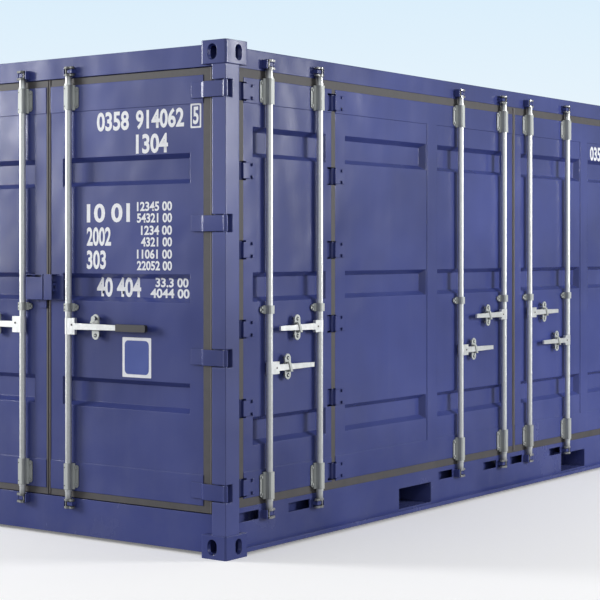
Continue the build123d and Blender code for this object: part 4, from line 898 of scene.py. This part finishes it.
floor_mesh = bpy.data.meshes.new("floor")
floor_corners = [(x * FLOOR_HALF, y * FLOOR_HALF, 0.0) for x, y in ((-1, -1), (1, -1), (1, 1), (-1, 1))]
floor_mesh.from_pydata(floor_corners, [], [(0, 1, 2, 3)])
floor = bpy.data.objects.new("floor", floor_mesh)
bpy.context.scene.collection.objects.link(floor)
floor_material = bpy.data.materials.new("pale_floor")
floor_material.use_nodes = True
floor_tree = floor_material.node_tree
floor_shader = floor_tree.nodes["Principled BSDF"].inputs
floor_seen = add_node(floor_tree, "ShaderNodeLightPath").outputs["Is Camera Ray"]
floor_tree.links.new(blend(floor_tree, floor_seen, FLOOR_FOR_LIGHT, FLOOR_SEEN), floor_shader["Base Color"])
floor_shader["Roughness"].default_value = FLOOR_ROUGHNESS
floor_shader["Emission Color"].default_value = FLOOR_SEEN
floor_glow = combine(floor_tree, "MULTIPLY", floor_seen, FLOOR_GLOW)
floor_tree.links.new(floor_glow, floor_shader["Emission Strength"])
floor_mesh.materials.append(floor_material)
floor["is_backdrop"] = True
print("floor", 2 * FLOOR_HALF, "m square")

# %% [markdown]
# ## Sky
# Most of the light comes from the world, as on an overcast day, a little dimmer overhead and towards the
# right of the picture. The sky that the camera sees is a separate colour, chosen with Light Path, and
# glass would show it too. Paint and metal mirror a share of it.

# %% Sky
SKY_LOW = linear(240, 248, 253)
SKY_HIGH = linear(218, 238, 252)
SKY_BAND = (0.02, 0.16)
ZENITH = (0.0, 0.8, 0.86, 0.4)
DARK_SIDE = (0.77, -0.64, 0.0)
SIDE_FADE = (0.3, 0.95, 1.0, 0.35)
MIRRORED_SKY = 0.3

world = bpy.data.worlds.new("sky")
bpy.context.scene.world = world
world.use_nodes = True
sky = world.node_tree
sky.nodes.clear()
direction = add_node(sky, "ShaderNodeTexCoord").outputs["Generated"]
up = add_node(sky, "ShaderNodeSeparateXYZ", {0: direction}).outputs["Z"]
towards_dark = add_node(sky, "ShaderNodeVectorMath", {0: direction, 1: DARK_SIDE}, operation="DOT_PRODUCT")
side_fade = ramp(sky, towards_dark.outputs["Value"], *SIDE_FADE)
dimmed = combine(sky, "MULTIPLY", ramp(sky, up, *ZENITH), side_fade)
soft_light = add_node(sky, "ShaderNodeBackground", {"Color": (1.0, 1.0, 1.0, 1.0), "Strength": dimmed})
seen = blend(sky, ramp(sky, up, *SKY_BAND), SKY_LOW, SKY_HIGH)
seen_light = add_node(sky, "ShaderNodeBackground", {"Color": seen, "Strength": 1.0})
ray = add_node(sky, "ShaderNodeLightPath").outputs
camera_or_glass = combine(sky, "MAXIMUM", ray["Is Camera Ray"], ray["Is Transmission Ray"])
mirrored = combine(sky, "MULTIPLY", ray["Is Glossy Ray"], MIRRORED_SKY)
shown = combine(sky, "MAXIMUM", camera_or_glass, mirrored)
chosen = add_node(sky, "ShaderNodeMixShader", {0: shown, 1: soft_light.outputs[0], 2: seen_light.outputs[0]})
add_node(sky, "ShaderNodeOutputWorld", {"Surface": chosen.outputs[0]})
print("sky nodes", len(sky.nodes))

# %% [markdown]
# ## Lamps
# One large soft lamp stands far out beside each wall, so that the rods throw shadows towards the corner,
# and a small third one draws bright lines on bent edges. Their size and distance keep the shadows soft.


# %% Lamps
def soft_lamp(name, place, target, size, power, shine, fill):
    data = bpy.data.lights.new(name, "AREA")
    data.shape = "DISK"
    data.size = size
    data.energy = power
    data.specular_factor = shine
    data.diffuse_factor = fill
    lamp = bpy.data.objects.new(name, data)
    lamp.location = place
    lamp.rotation_mode = "QUATERNION"
    lamp.rotation_quaternion = (Vector(target) - Vector(place)).to_track_quat("-Z", "Y")
    bpy.context.scene.collection.objects.link(lamp)


soft_lamp("end_lamp", (-8.0, 9.5, 3.4), (-3.0, 0.0, 0.9), size=3.6, power=1000.0, shine=0.1, fill=1.0)
soft_lamp("side_lamp", (4.5, -10.5, 3.4), (0.0, -1.2, 0.6), size=3.6, power=860.0, shine=0.08, fill=1.0)
soft_lamp("edge_lamp", (-9.5, -9.0, 7.5), (-2.0, -1.2, 1.5), size=1.2, power=110.0, shine=1.5, fill=0.1)
bpy.context.scene.view_settings.view_transform = "Standard"

# %% [markdown]
# ## Size of the dressed model
# The size of the dressed model is printed, beside the CAD size printed at the start.

# %% Sizes
low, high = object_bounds()
print("visual size", [round(v, 3) for v in high - low])
